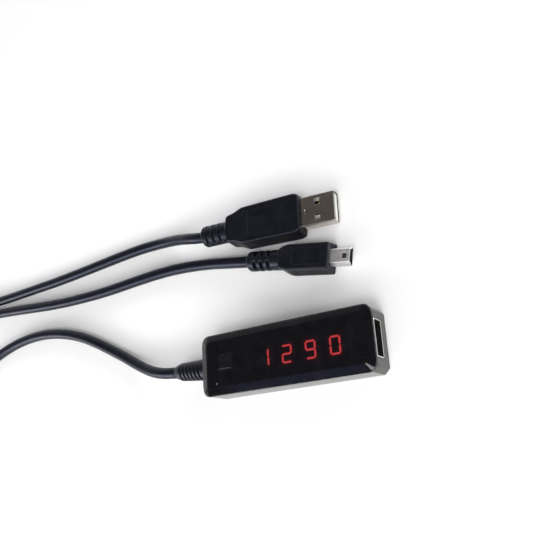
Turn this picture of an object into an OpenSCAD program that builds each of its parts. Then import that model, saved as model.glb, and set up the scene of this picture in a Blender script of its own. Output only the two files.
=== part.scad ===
// In-line USB power meter with a moulded lead that ends in a USB-A plug and a mini-B plug.
// The origin is under the middle of the housing, +X points to the socket, +Z is up, in millimetres.

/* [Housing] */
// Length of the housing along X
body_length = 71.6; // [71:0.1:74]
// Width of the housing along Y
body_width = 23.4; // [23:0.1:26]
// Height of the housing over its top
body_height = 12.9; // [12.9:0.1:14]
// Thickness of the walls of the tray and of the cover
wall = 1.2; // [1:0.1:1.4]
// Height of the seam between the tray and the cover
seam_height = 10.4; // [10.4:0.1:10.5]
// How far the tray stands back from the cover all round
tray_inset = 0.2; // [0.1:0.05:0.3]
// Size of the upright corner cuts of the tray
tray_corner = 2; // [1:0.1:2.5]
// Corner cut of the cover along X
cover_corner_x = 2.2; // [1:0.1:2.5]
// Corner cut of the cover along Y
cover_corner_y = 3.5; // [1:0.1:4]
// Width of the bevel round the top of the cover
bevel_width = 2.95; // [2:0.05:3.2]
// Height of the bevel round the top of the cover
bevel_drop = 1.15; // [0.6:0.05:1.2]

/* [Socket] */
// Outer width of the socket's metal shell
socket_width = 13.1; // [13:0.1:13.3]
// Outer height of the socket's metal shell
socket_height = 5.72; // [5.6:0.02:5.8]
// Length of the socket's metal shell
socket_length = 10.3; // [10:0.1:10.6]
// Height of the middle of the socket over the base
socket_level = 7.5; // [7.45:0.01:7.55]
// Thickness of the sheet metal of the socket and the plugs
sheet = 0.3; // [0.25:0.05:0.35]

/* [Board] */
// Height of the top face of the circuit board
board_top = 4.6; // [4.5:0.1:4.6]
// Thickness of the circuit board
board_thickness = 1.2; // [0.8:0.1:1.6]

/* [Display] */
// Digits shown on the display
shown = [1, 2, 9, 0];
// Distance from one digit to the next
digit_pitch = 9.7; // [9.5:0.1:9.8]
// Height of a digit
digit_height = 6.8; // [6:0.1:7.2]
// Width of a digit
digit_width = 4.4; // [4:0.1:4.6]
// Width of a segment of a digit
stroke = 0.8; // [0.6:0.05:0.9]

/* [Key] */
// Side of the square mode key
key_side = 5.4; // [5:0.1:5.6]
// Travel of the mode key
key_travel = 0.3; // [0.2:0.05:0.3]
// Gap round the mode key
key_gap = 0.12; // [0.1:0.01:0.15]

/* [Lead] */
// Diameter of the cords
cord_d = 4.6; // [4.4:0.1:4.6]
// Number of sides of a cord's tube
cord_sides = 8; // [8:1:12]

/* [USB-A plug] */
// Width of the USB-A plug's shell
a_width = 12; // [11.9:0.1:12.1]
// Height of the USB-A plug's shell
a_height = 4.5; // [4.4:0.1:4.6]
// Length of the USB-A plug's shell outside its grip
a_length = 14; // [12:0.5:14]
// Width of the USB-A plug's grip
a_grip_width = 16.6; // [16:0.1:17]
// Height of both plugs' grips
grip_height = 8; // [7.6:0.1:8]

/* [Mini-B plug] */
// Width of the mini-B plug's shell at its wide side
mini_width = 6.9; // [6.8:0.05:6.9]
// Height of the mini-B plug's shell
mini_height = 3.1; // [3:0.05:3.2]
// Length of the mini-B plug's shell outside its grip
mini_length = 7.8; // [7:0.1:8.6]
// Width of the mini-B plug's grip
mini_grip_width = 10.8; // [9.8:0.1:11]

/* [Hidden] */
$fn = 48;

half_length = body_length / 2;
half_width = body_width / 2;
over = 1;
inner_x = half_length - tray_inset - wall;
inner_y = half_width - tray_inset - wall;
board_bottom = board_top - board_thickness;
board_x0 = -inner_x + 2;
board_x1 = inner_x - 0.3;
board_y = inner_y - 0.3;
post_x = [-18, 19];
post_y = 7.6;

// Socket: the tongue hangs in the upper half, with the contacts on its lower face
socket_x0 = half_length - socket_length;
tongue_width = 11.1;
tongue_height = 1.84;
tongue_top = socket_level + socket_height / 2 - sheet - 0.7;
contact_pitch = [-3.5, -1, 1, 3.5];

// Display
digit_x = [for (i = [0:3]) (i - 1.5) * digit_pitch + 6.35];
digit_y = -0.4;
module_width = 7.8;
module_depth = 12.4;
module_top = 10.9;
film = 0.12;
// Segments lit in each numeral, in the order a b c d e f g
LIT = [[1, 1, 1, 1, 1, 1, 0], [0, 1, 1, 0, 0, 0, 0], [1, 1, 0, 1, 1, 0, 1], [1, 1, 1, 1, 0, 0, 1],
    [0, 1, 1, 0, 0, 1, 1], [1, 0, 1, 1, 0, 1, 1], [1, 0, 1, 1, 1, 1, 1], [1, 1, 1, 0, 0, 0, 0],
    [1, 1, 1, 1, 1, 1, 1], [1, 1, 1, 1, 0, 1, 1]];

// Key
key_at = [-24.4, 0.5];
key_flange = 0.8;
key_ceiling = body_height - wall;
flange_top = key_ceiling - 0.1;
flange_bottom = flange_top - 0.7;
switch_side = 6;
switch_top = board_top + 3.5;
plunger_d = 3.4;
plunger_inside = 1;
plunger_outside = 1.2;

led_at = [-28.4, -7.4];

// Cord boot
boot_level = 6;
boot_length = 17;
boot_d = [8.8, 7.2, 5.2];
boot_nose = 2.8;
boot_lean = 3.2;
neck_d = 5.6;

// Resting places of the plugs: where the shell leaves the grip, and the turn of the plug
a_root = [9, 53.4, grip_height / 2 + 0.02];
a_turn = [0, 4, -1.5];
mini_root = [19.6, 33.5, grip_height / 2];
mini_turn = [0, 0, -10.5];
a_grip = 27;
a_neck = 33;
a_boot = 44;
mini_grip = 21.5;
mini_boot = 36;
grip_bevel = 0.8;

// Coil: a flat spiral on the floor and a second one on top of it
cord_r = cord_d / 2;
coil_at = [-236, 33];
coil_r = [16.4, 22.2];
coil_upper = 6.95;
tie_width = 6;
tie_band = 0.7;

// Splitter
splitter_at = [-199, 52.7];
splitter_level = 3.3;
splitter_size = [20, 11.4, 6.6];

// Routes of the cords, from the end that belongs to the housing or the plug
METER_ROUTE = [[-52.8, 0.9, 6], [-60, 1.7, 5.8], [-66, 3.2, 5.1], [-72, 5.6, 4.1], [-79, 9.2, 3.1],
    [-86, 13.1, 2.5], [-94, 17.4, 2.3], [-103, 22, 2.3], [-112, 26, 2.3], [-122, 29.2, 2.3],
    [-132, 31.2, 2.3], [-142, 32, 2.3], [-152, 31.6, 2.3], [-162, 30, 2.3], [-172, 27.2, 2.3],
    [-182, 23.6, 2.3], [-192, 19.8, 2.3], [-202, 16.2, 2.3], [-212, 13.2, 2.3], [-224, 11.2, 2.3],
    [-236, 10.8, 2.3]];
SPLITTER_ROUTE = [[-236, 55.2, 6.95], [-228, 55, 6.6], [-220, 54, 5.1], [-213, 53, 3.7],
    [-208.6, 52.7, 3.3]];
A_ROUTE = [[-34.8, 54.5, 7.1], [-39.5, 55.1, 7.3], [-45, 56.4, 6.6], [-51, 58, 5.1], [-58, 59.4, 3.4],
    [-65, 60.2, 2.5], [-74, 60.5, 2.3], [-83, 60.2, 2.3], [-93, 59.6, 2.3], [-103, 58.9, 2.3],
    [-113, 58.2, 2.3], [-123, 57.6, 2.3], [-133, 57.1, 2.3], [-143, 56.8, 2.3], [-153, 56.5, 2.3],
    [-163, 56.2, 2.3], [-173, 56, 2.4], [-182, 56, 2.8], [-189.4, 56, 3.3]];
MINI_ROUTE = [[-15.8, 40.1, 4], [-22, 41.3, 3.6], [-29, 42.8, 2.9], [-37, 44.4, 2.4], [-46, 45.6, 2.3],
    [-55, 46.3, 2.3], [-65, 46.5, 2.3], [-75, 46.2, 2.3], [-85, 45.7, 2.3], [-95, 45.2, 2.3],
    [-105, 45, 2.3], [-115, 45.1, 2.3], [-125, 45.4, 2.3], [-135, 46, 2.3], [-145, 46.8, 2.3],
    [-155, 47.7, 2.3], [-165, 48.6, 2.3], [-174, 49.2, 2.4], [-182, 49.4, 2.8], [-189.4, 49.4, 3.3]];

// ---- helpers ----

// Block between two corners
module block(low, high) {
    translate(low) cube(high - low);
}

// Outline of a rectangle with its corners cut by cx along X and cy along Y
module cut_rectangle(hx, hy, cx, cy) {
    polygon([[-hx + cx, -hy], [hx - cx, -hy], [hx, -hy + cy], [hx, hy - cy],
        [hx - cx, hy], [-hx + cx, hy], [-hx, hy - cy], [-hx, -hy + cy]]);
}

// Prism along X over an outline in Y and Z
module along_x(x0, x1) {
    translate([x0, 0, 0]) rotate([90, 0, 90]) linear_extrude(x1 - x0) children();
}

// Prism along Y over an outline in X and Z
module along_y(y0, y1) {
    translate([0, y1, 0]) rotate([90, 0, 0]) linear_extrude(y1 - y0) children();
}

// Round bar from one point to another
module rod(from, to, d) {
    way = to - from;
    turn = atan2(way[1], way[0]);
    lean = acos(way[2] / norm(way));
    translate(from) rotate([0, lean, turn]) cylinder(d = d, h = norm(way), $fn = 24);
}

function unit(v) = v / norm(v);
function direction(route, i) = unit(route[min(i + 1, len(route) - 1)] - route[max(i - 1, 0)]);
function sideways(d) = unit([-d[1], d[0], 0]);
function ring(centre, d, r) =
    let (across = sideways(d), up = cross(d, across))
    [for (k = [0:cord_sides - 1]) let (a = 360 * (k + 0.5) / cord_sides)
        centre + r * (cos(a) * across + sin(a) * up)];

// Closed tube that follows a route, its flats level with the floor
module tube(route) {
    rings = len(route);
    reach = cord_r / cos(180 / cord_sides);
    points = [for (i = [0:rings - 1]) each ring(route[i], direction(route, i), reach)];
    walls = [for (i = [0:rings - 2]) for (k = [0:cord_sides - 1])
        let (n = (k + 1) % cord_sides, a = i * cord_sides, b = a + cord_sides) each
        [[a + k, b + k, a + n], [a + n, b + k, b + n]]];
    first = [for (k = [0:cord_sides - 1]) k];
    last = [for (k = [cord_sides - 1:-1:0]) (rings - 1) * cord_sides + k];
    polyhedron(points, concat([first], walls, [last]), convexity = 4);
}

// Places a plug's pieces where the plug rests
module at_a() { translate(a_root) rotate(a_turn) children(); }
module at_mini() { translate(mini_root) rotate(mini_turn) children(); }

// ---- housing ----

module tray_outer() {
    linear_extrude(seam_height)
        cut_rectangle(half_length - tray_inset, half_width - tray_inset, tray_corner, tray_corner);
}

module tray_inner() {
    inner_cut = tray_corner - wall * 0.6;
    translate([0, 0, wall]) linear_extrude(seam_height)
        cut_rectangle(inner_x, inner_y, inner_cut, inner_cut);
}

// Post that carries the board, with a pilot hole for its screw
module board_post(x) {
    translate([x, post_y, wall - 0.2]) cylinder(d = 3.6, h = board_bottom - wall + 0.2);
}

module base_tray() {
    color([0.055, 0.06, 0.062]) difference() {
        union() {
            difference() {
                tray_outer();
                tray_inner();
            }
            for (x = post_x) board_post(x);
            for (side = [-1, 1], x = [-29, 30])
                translate([x - 1.5, side * (inner_y - 0.7) - 0.9, wall - 0.2])
                    cube([3, 1.8, board_bottom - wall + 0.2]);
        }
        for (x = post_x) translate([x, post_y, 0.6]) cylinder(d = 1.4, h = board_top);
        // Mouth for the socket
        block([inner_x - over, -socket_width / 2 - 0.05, socket_level - socket_height / 2 - 0.05],
            [half_length + over, socket_width / 2 + 0.05, seam_height + over]);
        // Notch for the neck of the cord boot
        translate([-half_length - over, 0, boot_level]) rotate([0, 90, 0])
            cylinder(d = neck_d + 0.1, h = wall + tray_inset + 2 * over);
        block([-half_length - over, -neck_d / 2 - 0.05, boot_level],
            [-inner_x + over, neck_d / 2 + 0.05, seam_height + over]);
    }
}

// Solid with the cover's bevelled top, inset from the outside by the given amounts
module bevelled(inset, top, edge, low) {
    hx = half_length - inset;
    hy = half_width - inset;
    run = bevel_width - inset;
    intersection() {
        along_y(-half_width, half_width)
            polygon([[-hx, low], [hx, low], [hx, edge], [hx - run, top], [-hx + run, top], [-hx, edge]]);
        along_x(-half_length, half_length)
            polygon([[-hy, low], [hy, low], [hy, edge], [hy - run, top], [-hy + run, top], [-hy, edge]]);
        translate([0, 0, low]) linear_extrude(top - low)
            cut_rectangle(hx, hy, cover_corner_x - inset * 0.6, cover_corner_y - inset * 0.6);
    }
}

module top_cover() {
    bevel_edge = body_height - bevel_drop;
    inner_edge = bevel_edge - wall + wall * bevel_drop / bevel_width;
    hole = key_side / 2 + key_gap;
    color([0.03, 0.03, 0.035]) difference() {
        union() {
            difference() {
                bevelled(0, body_height, bevel_edge, seam_height);
                bevelled(wall, body_height - wall, inner_edge, seam_height - over);
            }
            // Locating lips inside the long walls of the tray
            for (side = [-1, 1]) translate([-22, side * (inner_y - 0.6) - 0.45, seam_height - 1.1])
                cube([52, 0.9, 2]);
            // Tongue that closes the notch over the cord boot
            block([-half_length + tray_inset, -neck_d / 2, boot_level + 2],
                [-inner_x, neck_d / 2, seam_height + 0.6]);
        }
        translate([-half_length - over, 0, boot_level]) rotate([0, 90, 0])
            cylinder(d = neck_d + 0.1, h = wall + tray_inset + 2 * over);
        translate([key_at[0] - hole, key_at[1] - hole, body_height - wall - over])
            cube([2 * hole, 2 * hole, wall + 2 * over]);
    }
}

module board_screws() {
    color([0.75, 0.75, 0.77]) for (x = post_x) translate([x, post_y, 0]) {
        difference() {
            translate([0, 0, board_top]) cylinder(d = 3, h = 0.9);
            block([-1, -0.2, board_top + 0.5], [1, 0.2, board_top + 1.2]);
            block([-0.2, -1, board_top + 0.5], [0.2, 1, board_top + 1.2]);
        }
        translate([0, 0, 1]) cylinder(d = 1.4, h = board_top - 1);
    }
}

// ---- electronics ----

module circuit_board() {
    color([0.05, 0.22, 0.12]) difference() {
        block([board_x0, -board_y, board_bottom], [board_x1, board_y, board_top]);
        for (x = post_x) translate([x, post_y, board_bottom - over])
            cylinder(d = 1.8, h = board_thickness + 2);
        for (side = [-1, 1]) translate([board_x1, side * board_y, board_bottom - over])
            rotate([0, 0, 45]) cube([3, 3, 6], center = true);
    }
}

module usb_socket_shell() {
    w = socket_width / 2;
    h = socket_height / 2;
    color([0.8, 0.8, 0.82]) difference() {
        translate([0, 0, socket_level]) block([socket_x0, -w, -h], [half_length, w, h]);
        translate([0, 0, socket_level])
            block([socket_x0 + sheet, -w + sheet, -h + sheet], [half_length + over, w - sheet, h - sheet]);
        // Spring windows in the top and the bottom
        for (y = [-2.8, 2.8]) translate([socket_x0 + 4.4, y - 0.9, socket_level - h - over])
            cube([3.6, 1.8, socket_height + 2 * over]);
    }
}

module usb_socket_tongue() {
    color([0.06, 0.06, 0.065]) difference() {
        union() {
            translate([socket_x0 + sheet, -socket_width / 2 + sheet,
                socket_level - socket_height / 2 + sheet])
                cube([1.4, socket_width - 2 * sheet, socket_height - 2 * sheet]);
            block([socket_x0 + sheet, -tongue_width / 2, tongue_top - tongue_height],
                [half_length - 1, tongue_width / 2, tongue_top]);
        }
        for (y = contact_pitch) block([socket_x0 + 2, y - 0.55, tongue_top - tongue_height - over],
            [half_length - 1.6, y + 0.55, tongue_top - tongue_height + 0.3]);
    }
}

module usb_socket_contacts() {
    floor_z = tongue_top - tongue_height + 0.3;
    color([0.9, 0.72, 0.35]) for (y = contact_pitch)
        block([socket_x0 + 2.1, y - 0.5, floor_z - 0.35], [half_length - 1.7, y + 0.5, floor_z]);
}

module display_module(i) {
    x = digit_x[i];
    color([0.08, 0.08, 0.085]) difference() {
        block([x - module_width / 2, digit_y - module_depth / 2, board_top],
            [x + module_width / 2, digit_y + module_depth / 2, module_top - film]);
        for (side = [-1, 1]) translate([x, digit_y + side * module_depth / 2, board_top])
            rotate([0, 90, 0]) cylinder(d = 1.6, h = module_width + 2, center = true);
    }
}

// One segment bar with pointed ends, lying along X
module segment_bar(length) {
    h = stroke / 2;
    linear_extrude(film) polygon([[-length / 2, 0], [-length / 2 + h, -h], [length / 2 - h, -h],
        [length / 2, 0], [length / 2 - h, h], [-length / 2 + h, h]]);
}

// Segments of one digit whose state is the wanted one
module segments(i, wanted) {
    w = digit_width - stroke;
    h = (digit_height - stroke) / 2;
    gap = 0.12;
    // Middle and direction of each segment, in the order a b c d e f g
    seats = [[0, h, 0], [w / 2, h / 2, 1], [w / 2, -h / 2, 1], [0, -h, 0], [-w / 2, -h / 2, 1],
        [-w / 2, h / 2, 1], [0, 0, 0]];
    translate([digit_x[i], digit_y, module_top - film]) for (s = [0:6]) if (LIT[shown[i]][s] == wanted)
        translate([seats[s][0], seats[s][1], 0]) rotate([0, 0, 90 * seats[s][2]])
            segment_bar((seats[s][2] == 1 ? h : w) - 2 * gap);
}

module lit_segments() {
    color([1, 0.08, 0.02]) for (i = [0:3]) segments(i, 1);
}

module unlit_segments() {
    color([0.2, 0.12, 0.12]) {
        for (i = [0:3]) segments(i, 0);
        for (i = [0:3]) translate([digit_x[i] + digit_width / 2 + 0.75, digit_y - digit_height / 2 + 0.45,
            module_top - film]) cylinder(d = 0.8, h = film);
    }
}

module display_pins() {
    pins = 5;
    color([0.75, 0.75, 0.76]) for (i = [0:3], side = [-1, 1], p = [0:pins - 1])
        translate([digit_x[i] + (p - 2) * 1.4, digit_y + side * (module_depth / 2 - 1.6),
            board_bottom - 0.7])
            cylinder(d = 0.5, h = board_top - board_bottom + 0.7, $fn = 16);
}

module mode_key() {
    s = key_side / 2;
    f = s + key_flange;
    color([0.03, 0.03, 0.035]) translate([key_at[0], key_at[1], 0]) {
        block([-s, -s, flange_bottom], [s, s, body_height]);
        block([-f, -f, flange_bottom], [f, f, flange_top]);
        translate([0, 0, switch_top + plunger_outside])
            cylinder(d = plunger_d, h = flange_bottom - switch_top - plunger_outside + 0.1);
    }
}

module key_switch_body() {
    s = switch_side / 2;
    color([0.1, 0.1, 0.1]) translate([key_at[0], key_at[1], 0]) difference() {
        block([-s, -s, board_top], [s, s, switch_top]);
        // Room for the plunger at the end of its travel
        translate([0, 0, switch_top - plunger_inside - key_travel - 0.2])
            cylinder(d = plunger_d + 0.2, h = plunger_inside + key_travel + 0.2 + over);
    }
}

module key_switch_plunger() {
    color([0.55, 0.12, 0.1]) translate([key_at[0], key_at[1], switch_top - plunger_inside])
        cylinder(d = plunger_d, h = plunger_inside + plunger_outside);
}

module indicator_led() {
    color([0.85, 0.9, 0.85]) translate([led_at[0], led_at[1], board_top]) {
        block([-1.1, -1.1, 0], [1.1, 1.1, 1]);
        translate([0, 0, 1]) cylinder(d = 1.7, h = 5.6);
    }
}

// Chip with its legs along two sides
module chip(centre, size, legs, pitch, face) {
    up = face > 0 ? board_top : board_bottom;
    translate([centre[0], centre[1], up]) mirror([0, 0, face > 0 ? 0 : 1]) {
        translate([-size[0] / 2, -size[1] / 2, 0.1]) cube(size);
        for (side = [-1, 1], p = [0:legs - 1]) translate([(p - (legs - 1) / 2) * pitch, 0, 0])
            block([-0.2, min(side * (size[1] / 2 + 0.9), side * (size[1] / 2 - 0.4)), 0],
                [0.2, max(side * (size[1] / 2 + 0.9), side * (size[1] / 2 - 0.4)), 0.5]);
    }
}

module microcontroller() {
    color([0.06, 0.06, 0.065]) chip([-15.6, -0.3], [5.4, 4, 1.2], 7, 0.7, 1);
}

module sense_amplifier() {
    color([0.06, 0.06, 0.065]) chip([0, 0], [4.9, 3.9, 1.2], 4, 1.27, -1);
}

module voltage_regulator() {
    color([0.06, 0.06, 0.065]) chip([12, -1.8], [3, 1.7, 1], 3, 0.95, -1);
}

module shunt_resistor() {
    color([0.12, 0.12, 0.12]) block([-13.2, -1.6, board_bottom - 0.9], [-6.8, 1.6, board_bottom]);
}

module crystal() {
    color([0.8, 0.8, 0.8]) block([-17.2, -6.4, board_top], [-14, -3.9, board_top + 0.9]);
}

module chip_resistors() {
    color([0.1, 0.1, 0.1]) for (i = [0:5])
        translate([-2 + i * 4.2, -7.4, board_bottom - 0.5]) cube([2, 1.25, 0.5]);
}

module chip_capacitors() {
    color([0.6, 0.45, 0.3]) for (i = [0:3])
        translate([4 + i * 5, 4.55, board_bottom - 0.8]) cube([1.8, 1, 0.8]);
}

module core_wires() {
    start = -inner_x + 1.2;
    color([0.7, 0.1, 0.1]) for (i = [0:3])
        rod([start, (i - 1.5) * 1.3, boot_level], [start + 2, (i - 1.5) * 2.4, board_top], 1);
}

module wire_solder() {
    color([0.7, 0.7, 0.7]) for (i = [0:3]) translate([-inner_x + 3.3, (i - 1.5) * 2.4, board_bottom])
        mirror([0, 0, 1]) cylinder(d1 = 1.8, d2 = 0.8, h = 0.8);
}

// ---- lead ----

module cord_boot() {
    slots = 6;
    barrel = boot_length - boot_nose;
    color([0.04, 0.04, 0.045]) translate([-half_length, 0, boot_level]) {
        rotate([0, 0, -boot_lean]) rotate([0, -90, 0]) difference() {
            union() {
                cylinder(d1 = boot_d[0], d2 = boot_d[1], h = barrel);
                translate([0, 0, barrel]) cylinder(d1 = boot_d[1], d2 = boot_d[2], h = boot_nose);
            }
            for (i = [0:slots - 1], side = [45, 225]) rotate([0, 0, side])
                translate([0, 4.4, 3.6 + i * 1.9]) cube([9, 3, 0.75], center = true);
        }
        rotate([0, 90, 0]) translate([0, 0, -0.3]) cylinder(d = neck_d, h = wall + tray_inset + 0.4);
        rotate([0, 90, 0]) translate([0, 0, wall + tray_inset + 0.1]) cylinder(d = neck_d + 1.4, h = 1.1);
    }
}

module meter_cord() { color([0.035, 0.035, 0.04]) tube(METER_ROUTE); }
module splitter_lead() { color([0.035, 0.035, 0.04]) tube(SPLITTER_ROUTE); }
module usb_a_leg() { color([0.035, 0.035, 0.04]) tube(A_ROUTE); }
module mini_b_leg() { color([0.035, 0.035, 0.04]) tube(MINI_ROUTE); }

module cord_coil() {
    color([0.035, 0.035, 0.04]) translate([coil_at[0], coil_at[1], 0]) rotate_extrude($fn = 96)
        translate([coil_r[0] - cord_r, 0]) square([coil_r[1] - coil_r[0] + cord_d, coil_upper + cord_r]);
}

module coil_tie() {
    low = coil_r[0] - cord_r - tie_band;
    high = coil_r[1] + cord_r + tie_band;
    color([0.02, 0.02, 0.02]) translate([coil_at[0], coil_at[1], 0]) difference() {
        block([-high, -tie_width / 2, 0], [-low, tie_width / 2, coil_upper + cord_r + tie_band]);
        block([-high + tie_band, -tie_width, tie_band], [-low - tie_band, tie_width, coil_upper + cord_r]);
    }
}

module cord_splitter() {
    x = splitter_size[0] / 2;
    y = splitter_size[1] / 2;
    z = splitter_size[2] / 2;
    color([0.04, 0.04, 0.045]) translate([splitter_at[0], splitter_at[1], splitter_level]) {
        intersection() {
            translate([0, 0, -z]) linear_extrude(2 * z)
                polygon([[-x, -2.9], [-x + 3, -3.4], [x - 8, -y], [x, -y], [x, y], [x - 8, y],
                    [-x + 3, 3.4], [-x, 2.9]]);
            along_x(-x, x) cut_rectangle(y, z, 1.2, 1.2);
        }
    }
}

// ---- plugs ----

// Grip of a plug: an outline seen from above, with bevelled long edges
module grip(outline, width) {
    h = grip_height / 2;
    intersection() {
        translate([0, 0, -h]) linear_extrude(grip_height) polygon(outline);
        along_x(-60, 1) cut_rectangle(width / 2, h, grip_bevel, grip_bevel);
    }
}

// Boot behind a grip: rings with slots between them
module plug_boot(from, to, d, slots) {
    pitch = (to - from) / (slots + 0.6);
    translate([-from, 0, 0]) rotate([0, -90, 0]) difference() {
        cylinder(d = d, h = to - from);
        for (i = [0:slots - 1]) translate([0, 0, pitch * (i + 0.6)]) difference() {
            cylinder(d = d + 1, h = 0.9);
            translate([0, 0, -1]) cylinder(d = d - 2.2, h = 3);
        }
    }
}

module usb_a_grip() {
    w = a_grip_width / 2;
    n = 6.3;
    color([0.045, 0.045, 0.05]) at_a() difference() {
        union() {
            grip([[0, -w], [0, w], [-a_grip + 1.5, w - 0.5], [-a_grip, w - 1.2], [-a_grip - 2, n],
                [-a_neck + 1, n - 0.6], [-a_neck, n - 1.6], [-a_neck, -n + 1.6], [-a_neck + 1, -n + 0.6],
                [-a_grip - 2, -n], [-a_grip, -w + 1.2], [-a_grip + 1.5, -w + 0.5]], a_grip_width);
            plug_boot(a_neck - 0.1, a_boot, 8.7, 3);
        }
        block([-6, -a_width / 2, -a_height / 2], [over, a_width / 2, a_height / 2]);
    }
}

module usb_a_shell() {
    w = a_width / 2;
    h = a_height / 2;
    window = 2.5;
    window_x = 6;
    color([0.8, 0.8, 0.82]) at_a() difference() {
        block([-6, -w, -h], [a_length, w, h]);
        block([-5, -w + sheet, -h + sheet], [a_length + over, w - sheet, h - sheet]);
        for (y = [-3.1, 3.1]) translate([window_x, y - window / 2, -h - over])
            cube([2.2, window, a_height + 2 * over]);
    }
}

module usb_a_tongue() {
    w = a_width / 2 - sheet;
    h = a_height / 2 - sheet;
    color([0.86, 0.86, 0.84]) at_a() difference() {
        block([-5, -w, -h], [a_length - 0.4, w, -h + 1.95]);
        for (y = contact_pitch) block([4.4, y - 0.6, -h + 1.7], [a_length - 1, y + 0.6, 2]);
    }
}

module usb_a_contacts() {
    h = a_height / 2 - sheet;
    color([0.9, 0.72, 0.35]) at_a() for (y = contact_pitch)
        block([4.5, y - 0.5, -h + 1.7], [a_length - 1.1, y + 0.5, -h + 1.9]);
}

// Section of the mini-B shell, inset by the thickness of the sheet where wanted
module mini_section(inset) {
    w = mini_width / 2 - inset;
    h = mini_height / 2 - inset;
    polygon([[-w, -h], [w, -h], [w, -h + 1.1], [w - 0.9, h - 0.6], [w - 0.9, h], [-w + 0.9, h],
        [-w + 0.9, h - 0.6], [-w, -h + 1.1]]);
}

module mini_b_grip() {
    w = mini_grip_width / 2;
    ribs = 11;
    color([0.045, 0.045, 0.05]) at_mini() difference() {
        union() {
            grip([[0, -w], [0, w], [-mini_grip + 3, w], [-mini_grip + 0.8, w - 0.9], [-mini_grip, w - 2],
                [-mini_grip, -w + 2], [-mini_grip + 0.8, -w + 0.9], [-mini_grip + 3, -w]], mini_grip_width);
            plug_boot(mini_grip - 0.1, mini_boot, 8, 3);
        }
        along_x(-5, over) mini_section(0);
        for (i = [0:ribs - 1], side = [-1, 1])
            translate([-1.6 - i * 1.25, side * w, 0]) cube([0.5, 0.5, grip_height - 3], center = true);
    }
}

module mini_b_shell() {
    color([0.8, 0.8, 0.82]) at_mini() difference() {
        along_x(-5, mini_length) mini_section(0);
        along_x(-4, mini_length + over) mini_section(sheet);
        block([mini_length - 3, -1, mini_height / 2 - sheet - 0.2], [mini_length - 1.2, 1, mini_height]);
    }
}

module mini_b_tongue() {
    color([0.06, 0.06, 0.065]) at_mini() difference() {
        along_x(-4, mini_length - 0.5) mini_section(sheet);
        block([0.8, -mini_width / 2 + 1.2, -mini_height / 2 + 1.15],
            [mini_length, mini_width / 2 - 1.2, 0.75]);
    }
}

module mini_b_contacts() {
    color([0.9, 0.72, 0.35]) at_mini() for (i = [0:4])
        block([1, (i - 2) * 0.8 - 0.2, -mini_height / 2 + 1.15], [mini_length - 0.9, (i - 2) * 0.8 + 0.2,
            -mini_height / 2 + 1.3]);
}

base_tray();
top_cover();
board_screws();
circuit_board();
usb_socket_shell();
usb_socket_tongue();
usb_socket_contacts();
display_module(0);  // display_module_1
display_module(1);  // display_module_2
display_module(2);  // display_module_3
display_module(3);  // display_module_4
display_pins();
lit_segments();
unlit_segments();
mode_key();
key_switch_body();
key_switch_plunger();
indicator_led();
microcontroller();
sense_amplifier();
voltage_regulator();
shunt_resistor();
crystal();
chip_resistors();
chip_capacitors();
core_wires();
wire_solder();
cord_boot();
meter_cord();
cord_coil();
coil_tie();
splitter_lead();
cord_splitter();
usb_a_leg();
mini_b_leg();
usb_a_grip();
usb_a_shell();
usb_a_tongue();
usb_a_contacts();
mini_b_grip();
mini_b_shell();
mini_b_tongue();
mini_b_contacts();
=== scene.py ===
"""In-line USB power meter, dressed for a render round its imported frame.

The housing, its smoked cover, the display, the cords and both plugs are built here in millimetres and
written to Blender in metres, in the frame's own axes: +X towards the socket, +Y towards the plugs, +Z up.
"""

import logging
import math
from dataclasses import dataclass, field
from enum import Enum

import bmesh
import bpy
import numpy as np
from mathutils import Matrix, Vector


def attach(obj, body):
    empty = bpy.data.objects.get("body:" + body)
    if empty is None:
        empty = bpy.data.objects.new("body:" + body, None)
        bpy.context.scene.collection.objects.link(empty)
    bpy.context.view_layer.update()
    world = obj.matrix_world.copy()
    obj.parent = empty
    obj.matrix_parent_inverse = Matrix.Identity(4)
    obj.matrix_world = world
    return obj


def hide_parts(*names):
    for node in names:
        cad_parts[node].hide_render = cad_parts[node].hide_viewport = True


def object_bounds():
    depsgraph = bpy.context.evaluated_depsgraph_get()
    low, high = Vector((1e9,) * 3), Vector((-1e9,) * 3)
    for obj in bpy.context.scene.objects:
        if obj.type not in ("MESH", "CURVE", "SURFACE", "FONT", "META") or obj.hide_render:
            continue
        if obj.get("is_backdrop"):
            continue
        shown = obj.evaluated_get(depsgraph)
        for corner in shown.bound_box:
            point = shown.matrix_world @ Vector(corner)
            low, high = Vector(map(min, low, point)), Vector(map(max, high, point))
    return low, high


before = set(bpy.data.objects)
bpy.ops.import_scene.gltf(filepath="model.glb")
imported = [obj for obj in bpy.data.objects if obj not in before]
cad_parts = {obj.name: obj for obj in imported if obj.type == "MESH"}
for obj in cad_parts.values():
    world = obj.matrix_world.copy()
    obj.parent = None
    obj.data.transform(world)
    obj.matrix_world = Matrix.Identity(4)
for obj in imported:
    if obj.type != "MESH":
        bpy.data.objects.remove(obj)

logging.basicConfig(level=logging.INFO, format="%(message)s")
LOG = logging.getLogger("power_meter")

MM = 0.001
HOUSING = "housing"
KEY = "key"
SPAN_SAMPLES = 8

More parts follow.
